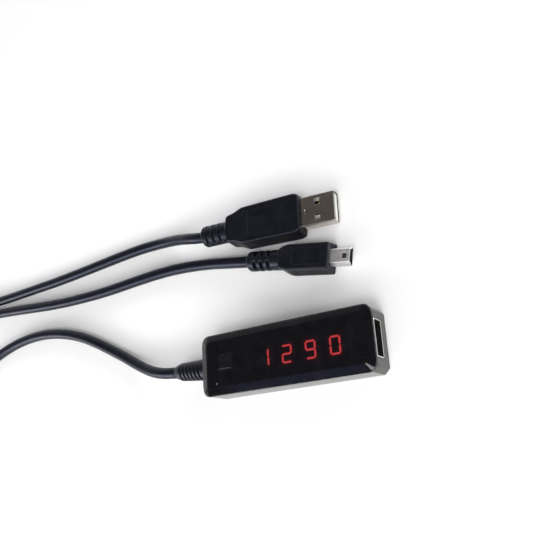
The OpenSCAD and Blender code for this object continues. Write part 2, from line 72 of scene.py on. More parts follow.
# Routes of the cords in millimetres, as the part's own source has them
METER_ROUTE = [[-52.8, 0.9, 6], [-60, 1.7, 5.8], [-66, 3.2, 5.1], [-72, 5.6, 4.1], [-79, 9.2, 3.1],
    [-86, 13.1, 2.5], [-94, 17.4, 2.3], [-103, 22, 2.3], [-112, 26, 2.3], [-122, 29.2, 2.3],
    [-132, 31.2, 2.3], [-142, 32, 2.3], [-152, 31.6, 2.3], [-162, 30, 2.3], [-172, 27.2, 2.3],
    [-182, 23.6, 2.3], [-192, 19.8, 2.3], [-202, 16.2, 2.3], [-212, 13.2, 2.3], [-224, 11.2, 2.3],
    [-236, 10.8, 2.3]]
SPLITTER_ROUTE = [[-236, 55.2, 6.95], [-228, 55, 6.6], [-220, 54, 5.1], [-213, 53, 3.7],
    [-208.6, 52.7, 3.3]]
A_ROUTE = [[-34.8, 54.5, 7.1], [-39.5, 55.1, 7.3], [-45, 56.4, 6.6], [-51, 58, 5.1], [-58, 59.4, 3.4],
    [-65, 60.2, 2.5], [-74, 60.5, 2.3], [-83, 60.2, 2.3], [-93, 59.6, 2.3], [-103, 58.9, 2.3],
    [-113, 58.2, 2.3], [-123, 57.6, 2.3], [-133, 57.1, 2.3], [-143, 56.8, 2.3], [-153, 56.5, 2.3],
    [-163, 56.2, 2.3], [-173, 56, 2.4], [-182, 56, 2.8], [-189.4, 56, 3.3]]
MINI_ROUTE = [[-15.8, 40.1, 4], [-22, 41.3, 3.6], [-29, 42.8, 2.9], [-37, 44.4, 2.4], [-46, 45.6, 2.3],
    [-55, 46.3, 2.3], [-65, 46.5, 2.3], [-75, 46.2, 2.3], [-85, 45.7, 2.3], [-95, 45.2, 2.3],
    [-105, 45, 2.3], [-115, 45.1, 2.3], [-125, 45.4, 2.3], [-135, 46, 2.3], [-145, 46.8, 2.3],
    [-155, 47.7, 2.3], [-165, 48.6, 2.3], [-174, 49.2, 2.4], [-182, 49.4, 2.8], [-189.4, 49.4, 3.3]]


# ---------------------------------------------------------------- curves and surfaces

def smooth_line(route: list) -> np.ndarray:
    """Smooth curve through a route's points.

    Each span is a Catmull-Rom cubic: it passes both its points, and its slope at a point is half the way
    from the point before to the point after.

    Args:
        route: points in millimetres.

    Returns:
        An array of points, n by 3.
    """
    given = np.asarray(route, float)
    padded = np.vstack([2 * given[0] - given[1], given, 2 * given[-1] - given[-2]])
    before, start, end, after = (padded[i:len(padded) - 3 + i][:, None] for i in range(4))
    t = np.linspace(0, 1, SPAN_SAMPLES, endpoint=False)[None, :, None]
    curve = start + t * (end - before) / 2 + t**2 * (before - 2.5 * start + 2 * end - after / 2)
    curve = curve + t**3 * (1.5 * (start - end) + (after - before) / 2)
    return np.vstack([curve.reshape(-1, 3), given[-1]])


def run_length(line: np.ndarray) -> np.ndarray:
    """Distance along a line up to each of its points."""
    steps = np.linalg.norm(np.diff(line, axis=0), axis=1)
    return np.concatenate([[0.0], np.cumsum(steps)])


def soften(values: np.ndarray, width: int) -> np.ndarray:
    """Running mean over width samples, which rounds the corners of a profile."""
    padded = np.pad(values, width // 2, mode="edge")
    return np.convolve(padded, np.ones(width) / width, mode="valid")[:len(values)]


def smooth_step(low: float, high: float, at: np.ndarray) -> np.ndarray:
    """Zero below low, one above high, and three t squared less two t cubed between them."""
    t = np.clip((at - low) / (high - low), 0, 1)
    return t * t * (3 - 2 * t)


def box_ring(half_y: np.ndarray, half_z: np.ndarray, corner: np.ndarray, steps: int) -> np.ndarray:
    """Rings of a rectangle whose corners are parabola arcs.

    Along an arc the first side gives way by corner times s squared, and the second by corner times the square
    of one less s, with s from 0 to 1.

    Args:
        half_y: half of the width of each ring.
        half_z: half of the height of each ring.
        corner: how far each arc reaches along its sides.
        steps: points on an arc.

    Returns:
        Y and Z of each ring's points: rings by 4 times steps by 2, anticlockwise seen from +X.
    """
    s = np.linspace(0, 1, steps)[None, :]
    y, z, c = (np.asarray(v, float).reshape(-1, 1) for v in (half_y, half_z, corner))
    far, near = y - c * s**2, z - c * (1 - s) ** 2
    back, up = y - c * (1 - s) ** 2, z - c * s**2
    quarters = [(far, near), (-back, up), (-far, -near), (back, -up)]
    return np.stack([np.hstack([q[0] for q in quarters]), np.hstack([q[1] for q in quarters])], axis=2)


def rounded_outline(points: list, reach: float, steps: int = 5) -> np.ndarray:
    """Closed outline with a parabola arc in place of each corner.

    An arc is (1-s)^2 times the point before the corner, 2s(1-s) times the corner and s^2 times the point
    after it, and both of those lie at the given reach from the corner.

    Args:
        points: corners of the outline.
        reach: distance from a corner to the ends of its arc.
        steps: points on an arc.

    Returns:
        The outline's points, n by 2.
    """
    corners = np.asarray(points, float)
    to_last = np.roll(corners, 1, axis=0) - corners
    to_next = np.roll(corners, -1, axis=0) - corners
    start = corners + reach * to_last / np.linalg.norm(to_last, axis=1, keepdims=True)
    end = corners + reach * to_next / np.linalg.norm(to_next, axis=1, keepdims=True)
    s = np.linspace(0, 1, steps)[None, :, None]
    arcs = (1 - s) ** 2 * start[:, None] + 2 * s * (1 - s) * corners[:, None] + s**2 * end[:, None]
    return arcs.reshape(-1, 2)


@dataclass
class Skin:
    """Faces gathered from grids, fans and rings, which are welded into one closed mesh at the end."""

    points: list = field(default_factory=list)
    faces: list = field(default_factory=list)
    marks: list = field(default_factory=list)
    count: int = 0

    def add(self, points: np.ndarray, faces: np.ndarray, marks: np.ndarray | None = None) -> None:
        """Adds points and the faces between them.

        Args:
            points: n by 3, in millimetres.
            faces: m by 3 or m by 4 numbers of those points.
            marks: one UV pair for each corner of each face, or None.
        """
        flat = np.asarray(points, float).reshape(-1, 3)
        faces = np.asarray(faces, int)
        self.points.append(flat)
        self.faces.append(faces + self.count)
        self.marks.append(np.zeros(faces.shape + (2,)) if marks is None else marks)
        self.count += len(flat)

    def grid(self, surface: np.ndarray, wrap: bool = False, keep: np.ndarray | None = None,
             chart: np.ndarray | None = None) -> None:
        """Adds a grid of points as four-sided faces.

        Args:
            surface: rows by columns by 3.
            wrap: whether the last column joins the first.
            keep: rows-1 by columns(-1) of True where a face stays, or None for all.
            chart: rows by columns+1 by 2 of UV, or None.
        """
        rows, columns = surface.shape[:2]
        wide = columns if wrap else columns - 1
        i, j = np.meshgrid(np.arange(rows - 1), np.arange(wide), indexing="ij")
        i, j = i.ravel(), j.ravel()
        if keep is not None:
            i, j = i[keep.ravel()], j[keep.ravel()]
        after = (j + 1) % columns
        faces = np.stack([i * columns + j, i * columns + after, (i + 1) * columns + after,
                          (i + 1) * columns + j], axis=1)
        marks = None
        if chart is not None:
            marks = np.stack([chart[i, j], chart[i, j + 1], chart[i + 1, j + 1], chart[i + 1, j]], axis=1)
        self.add(surface, faces, marks)

    def fan(self, ring: np.ndarray, centre: np.ndarray, closed: bool = True) -> None:
        """Adds triangles from a centre to each stretch of a ring."""
        n = len(ring)
        stretch = np.arange(n if closed else n - 1)
        faces = np.stack([np.full(len(stretch), n), stretch, (stretch + 1) % n], axis=1)
        self.add(np.vstack([ring, centre]), faces)

    def tube(self, surface: np.ndarray, chart: np.ndarray | None = None) -> None:
        """Adds a wrapped grid and closes both of its ends with fans."""
        self.grid(surface, wrap=True, chart=chart)
        self.fan(surface[0], surface[0].mean(0))
        self.fan(surface[-1], surface[-1].mean(0))

    def block(self, low: tuple, high: tuple) -> None:
        """Adds a closed box between two corners."""
        a, b = np.asarray(low, float), np.asarray(high, float)
        pick = np.array([[i, j, k] for i in (0, 1) for j in (0, 1) for k in (0, 1)])
        faces = np.array([[0, 1, 3, 2], [4, 6, 7, 5], [0, 4, 5, 1], [2, 3, 7, 6], [0, 2, 6, 4], [1, 5, 7, 3]])
        self.add(a + pick * (b - a), faces)

    def build(self, name: str, turn: Matrix | None = None, closed: bool = True) -> bpy.types.Object:
        """Welds the faces into one object, with its place in its mesh.

        Args:
            name: name of the piece.
            turn: placing in millimetres, or None where the points are already in place.
            closed: whether the mesh is closed, so that its faces can be turned outwards.

        Returns:
            The new object.
        """
        points = np.vstack(self.points)
        if turn is not None:
            place = np.array(turn)
            points = points @ place[:3, :3].T + place[:3, 3]
        faces = [face for block in self.faces for face in block.tolist()]
        mesh = bpy.data.meshes.new(name)
        mesh.from_pydata(points * MM, [], faces)
        chart = np.concatenate([m.reshape(-1, 2) for m in self.marks])
        if chart.any():
            layer = mesh.uv_layers.new(name="skin")
            layer.uv.foreach_set("vector", chart.astype(np.float32).ravel())
        weld(mesh, closed)
        mesh.polygons.foreach_set("use_smooth", np.ones(len(mesh.polygons), bool))
        piece = bpy.data.objects.new(name, mesh)
        bpy.context.scene.collection.objects.link(piece)
        return piece


def weld(mesh: bpy.types.Mesh, closed: bool = True) -> None:
    """Merges doubled points of a mesh, and turns the faces of a closed one outwards."""
    work = bmesh.new()
    work.from_mesh(mesh)
    bmesh.ops.remove_doubles(work, verts=work.verts, dist=2e-7)
    bmesh.ops.dissolve_degenerate(work, edges=work.edges, dist=1e-7)
    if closed:
        bmesh.ops.recalc_face_normals(work, faces=work.faces)
    work.to_mesh(mesh)
    work.free()
    mesh.update()


def add_bevel(piece: bpy.types.Object, width: float, segments: int, clamp: bool) -> bpy.types.Modifier:
    """Adds a rounding of the edges, and keeps the flats flat in the shading.

    Args:
        piece: the piece.
        width: width of the rounding, in millimetres.
        segments: steps on the rounding.
        clamp: whether the rounding stops where it would meet the next one.

    Returns:
        The bevel, whose limit is still to be set.
    """
    bevel = piece.modifiers.new("rounded edges", "BEVEL")
    bevel.width = width * MM
    bevel.segments = segments
    bevel.use_clamp_overlap = clamp
    flats = piece.modifiers.new("flat faces", "WEIGHTED_NORMAL")
    flats.keep_sharp = True
    flats.weight = 80
    return bevel


def round_edges(piece: bpy.types.Object, width: float, limit: float, segments: int = 3) -> None:
    """Rounds the edges of a piece that turn by more than the limit, in degrees."""
    bevel = add_bevel(piece, width, segments, clamp=True)
    bevel.limit_method = "ANGLE"
    bevel.angle_limit = math.radians(limit)


def thicken(piece: bpy.types.Object, sheet: float, inner: int = 0) -> None:
    """Gives a single skin its thickness of sheet, inwards from its outer face.

    Args:
        piece: the skin.
        sheet: its thickness in millimetres.
        inner: how many material places further the inner face's material is.
    """
    wall = piece.modifiers.new("sheet", "SOLIDIFY")
    wall.thickness = sheet * MM
    wall.offset = -1
    wall.use_even_offset = True
    wall.use_quality_normals = True
    wall.material_offset = inner


def softened_copy(node: str, name: str, width: float, limit: float = 40,
                  least: float = 0.0) -> bpy.types.Object:
    """Copy of a CAD node with rounded edges.

    Args:
        node: name of the CAD node.
        name: name of the new piece.
        width: width of the rounding, in millimetres.
        limit: least turn of an edge that is rounded, in degrees.
        least: shortest edge that is rounded, in millimetres.

    Returns:
        The new piece.
    """
    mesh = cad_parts[node].data.copy()
    mesh.name = name
    mesh.materials.clear()
    work = bmesh.new()
    work.from_mesh(mesh)
    bmesh.ops.remove_doubles(work, verts=work.verts, dist=1e-6)
    bmesh.ops.dissolve_limit(work, angle_limit=math.radians(1.0), verts=work.verts, edges=work.edges)
    bmesh.ops.recalc_face_normals(work, faces=work.faces)
    weights = work.edges.layers.float.new("bevel_weight_edge")
    for edge in work.edges:
        sharp = edge.is_manifold and edge.calc_face_angle(0.0) > math.radians(limit)
        edge[weights] = 1.0 if sharp and edge.calc_length() > least * MM else 0.0
        edge.smooth = not (sharp and edge.calc_length() <= least * MM)
    for face in work.faces:
        face.smooth = True
    work.to_mesh(mesh)
    work.free()
    piece = bpy.data.objects.new(name, mesh)
    bpy.context.scene.collection.objects.link(piece)
    add_bevel(piece, width, 3, clamp=False).limit_method = "WEIGHT"
    return piece


def closed_tube(name: str, surface: np.ndarray, place: Matrix | None = None,
                chart: np.ndarray | None = None) -> bpy.types.Object:
    """Builds one piece from a wrapped grid that is closed at both ends.

    Args:
        name: name of the piece.
        surface: rings by points by 3, in millimetres.
        place: placing in millimetres, or None where the points are already in place.
        chart: UV of the grid's corners, or None.

    Returns:
        The new piece.
    """
    skin = Skin()
    skin.tube(surface, chart)
    return skin.build(name, place)


def sheet_piece(name: str, surface: np.ndarray, sheet: float, place: Matrix | None = None,
                keep: np.ndarray | None = None, inner: int = 0) -> bpy.types.Object:
    """Builds one piece from a wrapped grid that is open at both ends and has the thickness of its sheet.

    Args:
        name: name of the piece.
        surface: rings by points by 3, in millimetres, on the outer face.
        sheet: thickness of the sheet, in millimetres.
        place: placing in millimetres, or None where the points are already in place.
        keep: True for each face that stays, or None for all.
        inner: how many material places further the inner face's material is.

    Returns:
        The new piece.
    """
    skin = Skin()
    skin.grid(surface, wrap=True, keep=keep)
    piece = skin.build(name, place, closed=False)
    thicken(piece, sheet, inner)
    return piece


def mount_piece(piece: bpy.types.Object, finish: "Finish", slot: str, *nodes: str, body: str = HOUSING,
                inner: "Finish | None" = None) -> bpy.types.Object:
    """Makes a piece part of the frame, and logs it.

    Args:
        piece: the piece.
        finish: its finish.
        slot: its material slot in the record; not used.
        *nodes: CAD nodes that it stands for.
        body: body that it rides on.
        inner: finish of its inner face, where that is another one; the shells' dark inner metal, which is
            painted shade.

    Returns:
        The same piece.
    """
    piece.data.materials.clear()
    for one in (finish, inner) if inner else (finish,):
        piece.data.materials.append(one.material())
    if nodes:
        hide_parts(*nodes)
    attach(piece, body)
    LOG.info("%s: %d faces, %s", piece.name, len(piece.data.polygons), finish.name)
    return piece


# ---------------------------------------------------------------- shader groups

class Wiring:
    """Short way to place and join the nodes of one tree."""

    def __init__(self, tree: bpy.types.NodeTree) -> None:
        """Keeps the tree that nodes are placed in."""
        self.tree = tree

    def node(self, kind: str, **settings: object) -> bpy.types.Node:
        """Places a node and sets its properties."""
        made = self.tree.nodes.new(kind)
        for key, value in settings.items():
            setattr(made, key, value)
        return made

    def join(self, source: bpy.types.NodeSocket, target: bpy.types.NodeSocket) -> None:
        """Joins an output to an input."""
        self.tree.links.new(source, target)

    def feed(self, target: bpy.types.NodeSocket, value: object) -> None:
        """Joins a socket to an input, or sets a plain value on it."""
        if isinstance(value, bpy.types.NodeSocket):
            self.join(value, target)
        else:
            target.default_value = value

    def maths(self, operation: str, *values: object, clamp: bool = False) -> bpy.types.NodeSocket:
        """Places a Math node and returns its result."""
        made = self.node("ShaderNodeMath", operation=operation, use_clamp=clamp)
        for slot, value in zip(made.inputs, values):
            self.feed(slot, value)
        return made.outputs[0]

    def noise(self, where: bpy.types.NodeSocket, scale: object, detail: float = 3.0) -> bpy.types.NodeSocket:
        """Places a noise texture and returns its value."""
        made = self.node("ShaderNodeTexNoise")
        self.feed(made.inputs["Vector"], where)
        self.feed(made.inputs["Scale"], scale)
        made.inputs["Detail"].default_value = detail
        return made.outputs["Fac"]

    def spread(self, value: object, low: object, high: object, to_low: object,
               to_high: object) -> bpy.types.NodeSocket:
        """Places a smooth Map Range node and returns its result."""
        made = self.node("ShaderNodeMapRange", interpolation_type="SMOOTHSTEP")
        for key, given in zip(("Value", "From Min", "From Max", "To Min", "To Max"),
                              (value, low, high, to_low, to_high)):
            self.feed(made.inputs[key], given)
        return made.outputs["Result"]

    def blend(self, factor: object, first: object, second: object) -> bpy.types.NodeSocket:
        """Places a colour Mix node and returns its result."""
        made = self.node("ShaderNodeMix", data_type="RGBA")
        self.feed(made.inputs[0], factor)
        self.feed(made.inputs[6], first)
        self.feed(made.inputs[7], second)
        return made.outputs[2]


class Effect(Enum):
    """The shared surface effects, each of them one shader node group."""

    GRAIN = "Moulded grain"
    DRAWN = "Drawn lines"
    JACKET = "Jacket skin"
    PILE = "Loop pile"
    TOUCH = "Touched surface"
    TONE = "Tone drift"
    WEAR = "Edge wear"
    DUST = "Settled dust"
    TRACES = "Board traces"
    GLOW = "Diode glow"


def new_group(effect: Effect, inputs: dict, outputs: dict) -> tuple:
    """Makes an empty shader group with named sockets.

    Args:
        effect: which effect it is.
        inputs: socket name to its type and first value.
        outputs: socket name to its type.

    Returns:
        The group, its wiring, its input node and its output node.
    """
    group = bpy.data.node_groups.new(effect.value, "ShaderNodeTree")
    for name, (kind, value) in inputs.items():
        socket = group.interface.new_socket(name=name, in_out="INPUT", socket_type=kind)
        socket.default_value = value
    for name, kind in outputs.items():
        group.interface.new_socket(name=name, in_out="OUTPUT", socket_type=kind)
    w = Wiring(group)
    return group, w, w.node("NodeGroupInput"), w.node("NodeGroupOutput")


NUMBER = "NodeSocketFloat"
COLOUR = "NodeSocketColor"
WHERE = "ShaderNodeTexCoord"


def build_grain() -> bpy.types.NodeTree:
    """Spark-eroded mould texture: fine cells with a finer noise over them."""
    group, w, given, out = new_group(Effect.GRAIN, {"Scale": (NUMBER, 4000.0)}, {"Height": NUMBER})
    place = w.node(WHERE).outputs["Object"]
    cells = w.node("ShaderNodeTexVoronoi", feature="SMOOTH_F1")
    w.join(place, cells.inputs["Vector"])
    w.join(given.outputs["Scale"], cells.inputs["Scale"])
    fine = w.noise(place, w.maths("MULTIPLY", given.outputs["Scale"], 2.3), 4.0)
    w.join(w.maths("ADD", w.maths("MULTIPLY", cells.outputs["Distance"], 0.6), fine), out.inputs["Height"])
    return group


def build_drawn() -> bpy.types.NodeTree:
    """Lines that rolling and drawing leave on sheet metal: noise stretched along X."""
    group, w, given, out = new_group(Effect.DRAWN, {"Scale": (NUMBER, 3000.0)},
                                     {"Height": NUMBER, "Streak": NUMBER})
    along = w.node("ShaderNodeVectorMath", operation="MULTIPLY")
    w.join(w.node(WHERE).outputs["Object"], along.inputs[0])
    along.inputs[1].default_value = (0.03, 1.0, 1.0)
    lines = w.noise(along.outputs[0], given.outputs["Scale"], 4.0)
    w.join(lines, out.inputs["Height"])
    broad = w.noise(along.outputs[0], w.maths("MULTIPLY", given.outputs["Scale"], 0.2), 2.0)
    w.join(w.spread(broad, 0.35, 0.65, 0.0, 1.0), out.inputs["Streak"])
    return group


def build_jacket() -> bpy.types.NodeTree:
    """Skin of an extruded cord: long fine die lines along it and a slight unevenness, on its own UV map."""
    group, w, given, out = new_group(Effect.JACKET, {"Lines": (NUMBER, 900.0)},
                                     {"Height": NUMBER, "Mottle": NUMBER})
    chart = w.node("ShaderNodeUVMap", uv_map="skin")
    pull = w.node("ShaderNodeVectorMath", operation="MULTIPLY")
    w.join(chart.outputs[0], pull.inputs[0])
    pull.inputs[1].default_value = (0.03, 1.0, 1.0)
    lines = w.noise(pull.outputs[0], given.outputs["Lines"], 3.0)
    uneven = w.noise(w.node(WHERE).outputs["Object"], 420.0, 3.0)
    height = w.maths("ADD", w.maths("MULTIPLY", lines, 0.35), w.maths("MULTIPLY", uneven, 0.65))
    w.join(height, out.inputs["Height"])
    w.join(w.spread(uneven, 0.35, 0.7, 0.0, 1.0), out.inputs["Mottle"])
    return group


def build_pile() -> bpy.types.NodeTree:
    """Loop side of a strap: crossed waves of yarn under a fuzz of fine noise; its Shade is painted shade,
    darker in the hollows and lighter on the crests.
    """
    group, w, given, out = new_group(Effect.PILE, {"Pitch": (NUMBER, 2200.0)},
                                     {"Height": NUMBER, "Shade": NUMBER})
    place = w.node(WHERE).outputs["Object"]
    parts = w.node("ShaderNodeSeparateXYZ")
    w.join(place, parts.inputs[0])
    across = w.maths("SINE", w.maths("MULTIPLY", parts.outputs["Y"], given.outputs["Pitch"]))
    run = w.maths("ADD", parts.outputs["X"], parts.outputs["Z"])
    along = w.maths("SINE", w.maths("MULTIPLY", run, given.outputs["Pitch"]))
    fuzz = w.noise(place, 9000.0, 4.0)
    height = w.maths("ADD", w.maths("MULTIPLY", across, along), w.maths("MULTIPLY", fuzz, 1.5))
    w.join(height, out.inputs["Height"])
    w.join(w.spread(height, -0.3, 1.6, 0.0, 1.0), out.inputs["Shade"])
    return group


def build_touch() -> bpy.types.NodeTree:
    """Roughness of a handled surface: it drifts slowly and is broken by small dull marks."""
    group, w, given, out = new_group(Effect.TOUCH, {"Rough": (NUMBER, 0.3), "Spread": (NUMBER, 0.1)},
                                     {"Roughness": NUMBER})
    place = w.node(WHERE).outputs["Object"]
    slow = w.maths("SUBTRACT", w.noise(place, 90.0, 3.0), 0.5)
    quick = w.spread(w.noise(place, 990.0, 2.0), 0.6, 0.75, 0.0, 0.5)
    drift = w.maths("MULTIPLY", w.maths("ADD", slow, quick), given.outputs["Spread"])
    w.join(w.maths("ADD", given.outputs["Rough"], drift, clamp=True), out.inputs["Roughness"])
    return group


def build_tone() -> bpy.types.NodeTree:
    """Colour that drifts between two close tones."""
    tones = {"First": (COLOUR, (0, 0, 0, 1)), "Second": (COLOUR, (1, 1, 1, 1))}
    group, w, given, out = new_group(Effect.TONE, tones, {"Colour": COLOUR})
    drift = w.noise(w.node(WHERE).outputs["Object"], 240.0, 5.0)
    share = w.spread(drift, 0.32, 0.68, 0.0, 1.0)
    w.join(w.blend(share, given.outputs["First"], given.outputs["Second"]), out.inputs["Colour"])
    return group


def build_wear() -> bpy.types.NodeTree:
    """Mask of rubbed edges: convex places, broken up by noise."""
    group, w, given, out = new_group(Effect.WEAR, {"Amount": (NUMBER, 0.5)}, {"Mask": NUMBER})
    point = w.node("ShaderNodeNewGeometry").outputs["Pointiness"]
    edge = w.spread(point, 0.53, 0.62, 0.0, 1.0)
    patchy = w.spread(w.noise(w.node(WHERE).outputs["Object"], 700.0, 4.0), 0.4, 0.62, 0.25, 1.0)
    w.join(w.maths("MULTIPLY", w.maths("MULTIPLY", edge, patchy), given.outputs["Amount"], clamp=True),
           out.inputs["Mask"])
    return group


def build_dust() -> bpy.types.NodeTree:
    """Mask of thin dust on faces that look up: small specks on a faint film."""
    group, w, given, out = new_group(Effect.DUST, {"Amount": (NUMBER, 0.1)}, {"Mask": NUMBER})
    lean = w.node("ShaderNodeSeparateXYZ")
    w.join(w.node("ShaderNodeNewGeometry").outputs["Normal"], lean.inputs[0])
    upward = w.spread(lean.outputs["Z"], 0.2, 0.95, 0.0, 1.0)
    place = w.node(WHERE).outputs["Object"]
    film = w.spread(w.noise(place, 120.0, 5.0), 0.4, 0.75, 0.0, 0.5)
    specks = w.spread(w.noise(place, 3200.0, 1.0), 0.74, 0.8, 0.0, 1.0)
    both = w.maths("MULTIPLY", w.maths("ADD", film, specks), upward)
    w.join(w.maths("MULTIPLY", both, given.outputs["Amount"], clamp=True), out.inputs["Mask"])
    return group


def build_traces() -> bpy.types.NodeTree:
    """Copper under solder mask: square-cornered bands and round lands in a lighter green."""
    group, w, given, out = new_group(Effect.TRACES, {"Pitch": (NUMBER, 420.0)},
                                     {"Mask": NUMBER, "Height": NUMBER})
    place = w.node(WHERE).outputs["Object"]
    bands = w.node("ShaderNodeTexBrick", offset=0.37, squash=1.0)
    w.join(place, bands.inputs["Vector"])
    w.join(given.outputs["Pitch"], bands.inputs["Scale"])
    bands.inputs["Mortar Size"].default_value = 0.07
    lands = w.node("ShaderNodeTexVoronoi", feature="F1")
    w.join(place, lands.inputs["Vector"])
    w.join(given.outputs["Pitch"], lands.inputs["Scale"])
    spots = w.spread(lands.outputs["Distance"], 0.16, 0.2, 1.0, 0.0)
    mask = w.maths("MAXIMUM", bands.outputs["Fac"], spots)
    w.join(mask, out.inputs["Mask"])
    w.join(mask, out.inputs["Height"])
    return group


def build_glow() -> bpy.types.NodeTree:
    """Light over a display, from an attribute: full on a lit bar's core and falling off beside it."""
    group, w, given, out = new_group(Effect.GLOW, {"Core": (COLOUR, (1, 0.075, 0.085, 1)),
                                                   "Halo": (COLOUR, (1, 0.015, 0.02, 1))}, {"Colour": COLOUR})
    light = w.node("ShaderNodeAttribute", attribute_name="light").outputs["Fac"]
    ripple = w.noise(w.node(WHERE).outputs["Object"], 1500.0, 3.0)
    level = w.maths("MULTIPLY", light, w.spread(ripple, 0.3, 0.7, 0.85, 1.0))
    core = w.spread(level, 0.55, 1.0, 0.0, 1.0)
    lit = w.blend(core, given.outputs["Halo"], given.outputs["Core"])
    w.join(w.blend(level, (0.0, 0.0, 0.0, 1.0), lit), out.inputs["Colour"])
    return group


BUILDERS = {Effect.GRAIN: build_grain, Effect.DRAWN: build_drawn, Effect.JACKET: build_jacket,
            Effect.PILE: build_pile, Effect.TOUCH: build_touch, Effect.TONE: build_tone,
            Effect.WEAR: build_wear, Effect.DUST: build_dust, Effect.TRACES: build_traces,
            Effect.GLOW: build_glow}


def group_of(effect: Effect) -> bpy.types.NodeTree:
    """The shader group of an effect, built the first time it is asked for."""
    return bpy.data.node_groups.get(effect.value) or BUILDERS[effect]()


# ---------------------------------------------------------------- finishes

class Surface(Enum):
    """What the fine relief of a finish is."""

    MOULDED = "moulded"
    DRAWN = "drawn"
    JACKET = "jacket"
    PILE = "pile"
    LAMINATE = "laminate"


@dataclass(frozen=True)
class Finish:
    """One finish of the meter and the values that its material gets.

    Attributes:
        name: name of the material.
        colour: main colour, linear.
        second: tone that the colour drifts to.
        rough: middle of the roughness.
        spread: how far the roughness drifts.
        surface: what its fine relief is.
        relief: height of the relief, in micrometres.
        scale: fineness of the relief, per metre.
        metal: 1 for bare metal.
        wear: how much its edges are rubbed.
        rubbed: colour of a rubbed edge.
        dust: how much dust lies on it.
        clear: share of light that it lets through, 0 for an opaque one.
        ior: index of refraction.
        sheen: weight of the fibre sheen.
        glow: strength of its own light.
        gleam: tint of what it mirrors.
    """

    name: str
    colour: tuple[float, float, float]
    second: tuple[float, float, float]
    rough: float
    spread: float = 0.08
    surface: Surface = Surface.MOULDED
    relief: float = 6.0
    scale: float = 4000.0
    metal: float = 0.0
    wear: float = 0.0
    rubbed: tuple[float, float, float] = (0.2, 0.2, 0.2)
    dust: float = 0.0
    clear: float = 0.0
    ior: float = 1.5
    sheen: float = 0.0
    glow: float = 0.0
    gleam: tuple[float, float, float] = (1.0, 1.0, 1.0)

    def material(self) -> bpy.types.Material:
        """The finish's material, built the first time it is asked for."""
        return bpy.data.materials.get(self.name) or self._build()

    def _build(self) -> bpy.types.Material:
        """Builds the material: tone, wear and dust in its colour, touch in its roughness, relief as bump."""
        material = bpy.data.materials.new(self.name)
        material.use_nodes = True
        w = Wiring(material.node_tree)
        shader = material.node_tree.nodes["Principled BSDF"]
        tone = self._effect(w, Effect.TONE, First=(*self.colour, 1), Second=(*self.second, 1))
        colour = tone.outputs["Colour"]
        touch = self._effect(w, Effect.TOUCH, Rough=self.rough, Spread=self.spread)
        rough = touch.outputs["Roughness"]
        height, colour, rough = self._relief(w, colour, rough)
        if self.wear:
            mask = self._effect(w, Effect.WEAR, Amount=self.wear).outputs["Mask"]
            colour = w.blend(mask, colour, (*self.rubbed, 1))
            rough = w.maths("SUBTRACT", rough, w.maths("MULTIPLY", mask, 0.12), clamp=True)
        if self.dust:
            mask = self._effect(w, Effect.DUST, Amount=self.dust).outputs["Mask"]
            colour = w.blend(mask, colour, (0.42, 0.42, 0.4, 1))
            rough = w.maths("ADD", rough, w.maths("MULTIPLY", mask, 0.5), clamp=True)
        w.join(colour, shader.inputs["Base Color"])
        w.join(rough, shader.inputs["Roughness"])
        bump = w.node("ShaderNodeBump")
        bump.inputs["Strength"].default_value = 1.0
        bump.inputs["Distance"].default_value = self.relief * 1e-6
        w.join(height, bump.inputs["Height"])
        w.join(bump.outputs["Normal"], shader.inputs["Normal"])
        shader.inputs["Metallic"].default_value = self.metal
        shader.inputs["IOR"].default_value = self.ior
        shader.inputs["Specular Tint"].default_value = (*self.gleam, 1)
        shader.inputs["Sheen Weight"].default_value = self.sheen
        if self.clear:
            shader.inputs["Alpha"].default_value = 1 - self.clear
            material.surface_render_method = "BLENDED"
        if self.glow:
            lit = self._effect(w, Effect.GLOW).outputs["Colour"]
            w.join(lit, shader.inputs["Emission Color"])
            shader.inputs["Emission Strength"].default_value = self.glow
        return material

    def _effect(self, w: Wiring, effect: Effect, **values: object) -> bpy.types.Node:
        """Places a shared effect in the material with this finish's own values."""
        placed = w.node("ShaderNodeGroup", node_tree=group_of(effect))
        for key, value in values.items():
            placed.inputs[key].default_value = value
        return placed

    def _relief(self, w: Wiring, colour: bpy.types.NodeSocket, rough: bpy.types.NodeSocket) -> tuple:
        """Places the relief of the finish's surface.

        Args:
            w: wiring of the material.
            colour: colour so far.
            rough: roughness so far.

        Returns:
            Height, colour and roughness with what the relief adds to them.
        """
        if self.surface is Surface.DRAWN:
            drawn = self._effect(w, Effect.DRAWN, Scale=self.scale)
            streak = w.maths("MULTIPLY", drawn.outputs["Streak"], self.spread)
            rough = w.maths("ADD", rough, streak, clamp=True)
            return drawn.outputs["Height"], colour, rough
        if self.surface is Surface.JACKET:
            skin = self._effect(w, Effect.JACKET, Lines=self.scale)
            mottle = w.maths("MULTIPLY", skin.outputs["Mottle"], self.spread)
            rough = w.maths("ADD", rough, mottle, clamp=True)
            return skin.outputs["Height"], colour, rough
        if self.surface is Surface.PILE:
            pile = self._effect(w, Effect.PILE, Pitch=self.scale)
            # Painted shade: the first colour fills the hollows between the yarns and the second the crests.
            shaded = w.blend(pile.outputs["Shade"], (*self.colour, 1), (*self.second, 1))
            return pile.outputs["Height"], shaded, rough
        if self.surface is Surface.LAMINATE:
            traces = self._effect(w, Effect.TRACES, Pitch=self.scale)
            return traces.outputs["Height"], w.blend(traces.outputs["Mask"], colour, (*self.second, 1)), rough
        grain = self._effect(w, Effect.GRAIN, Scale=self.scale)
        return grain.outputs["Height"], colour, rough


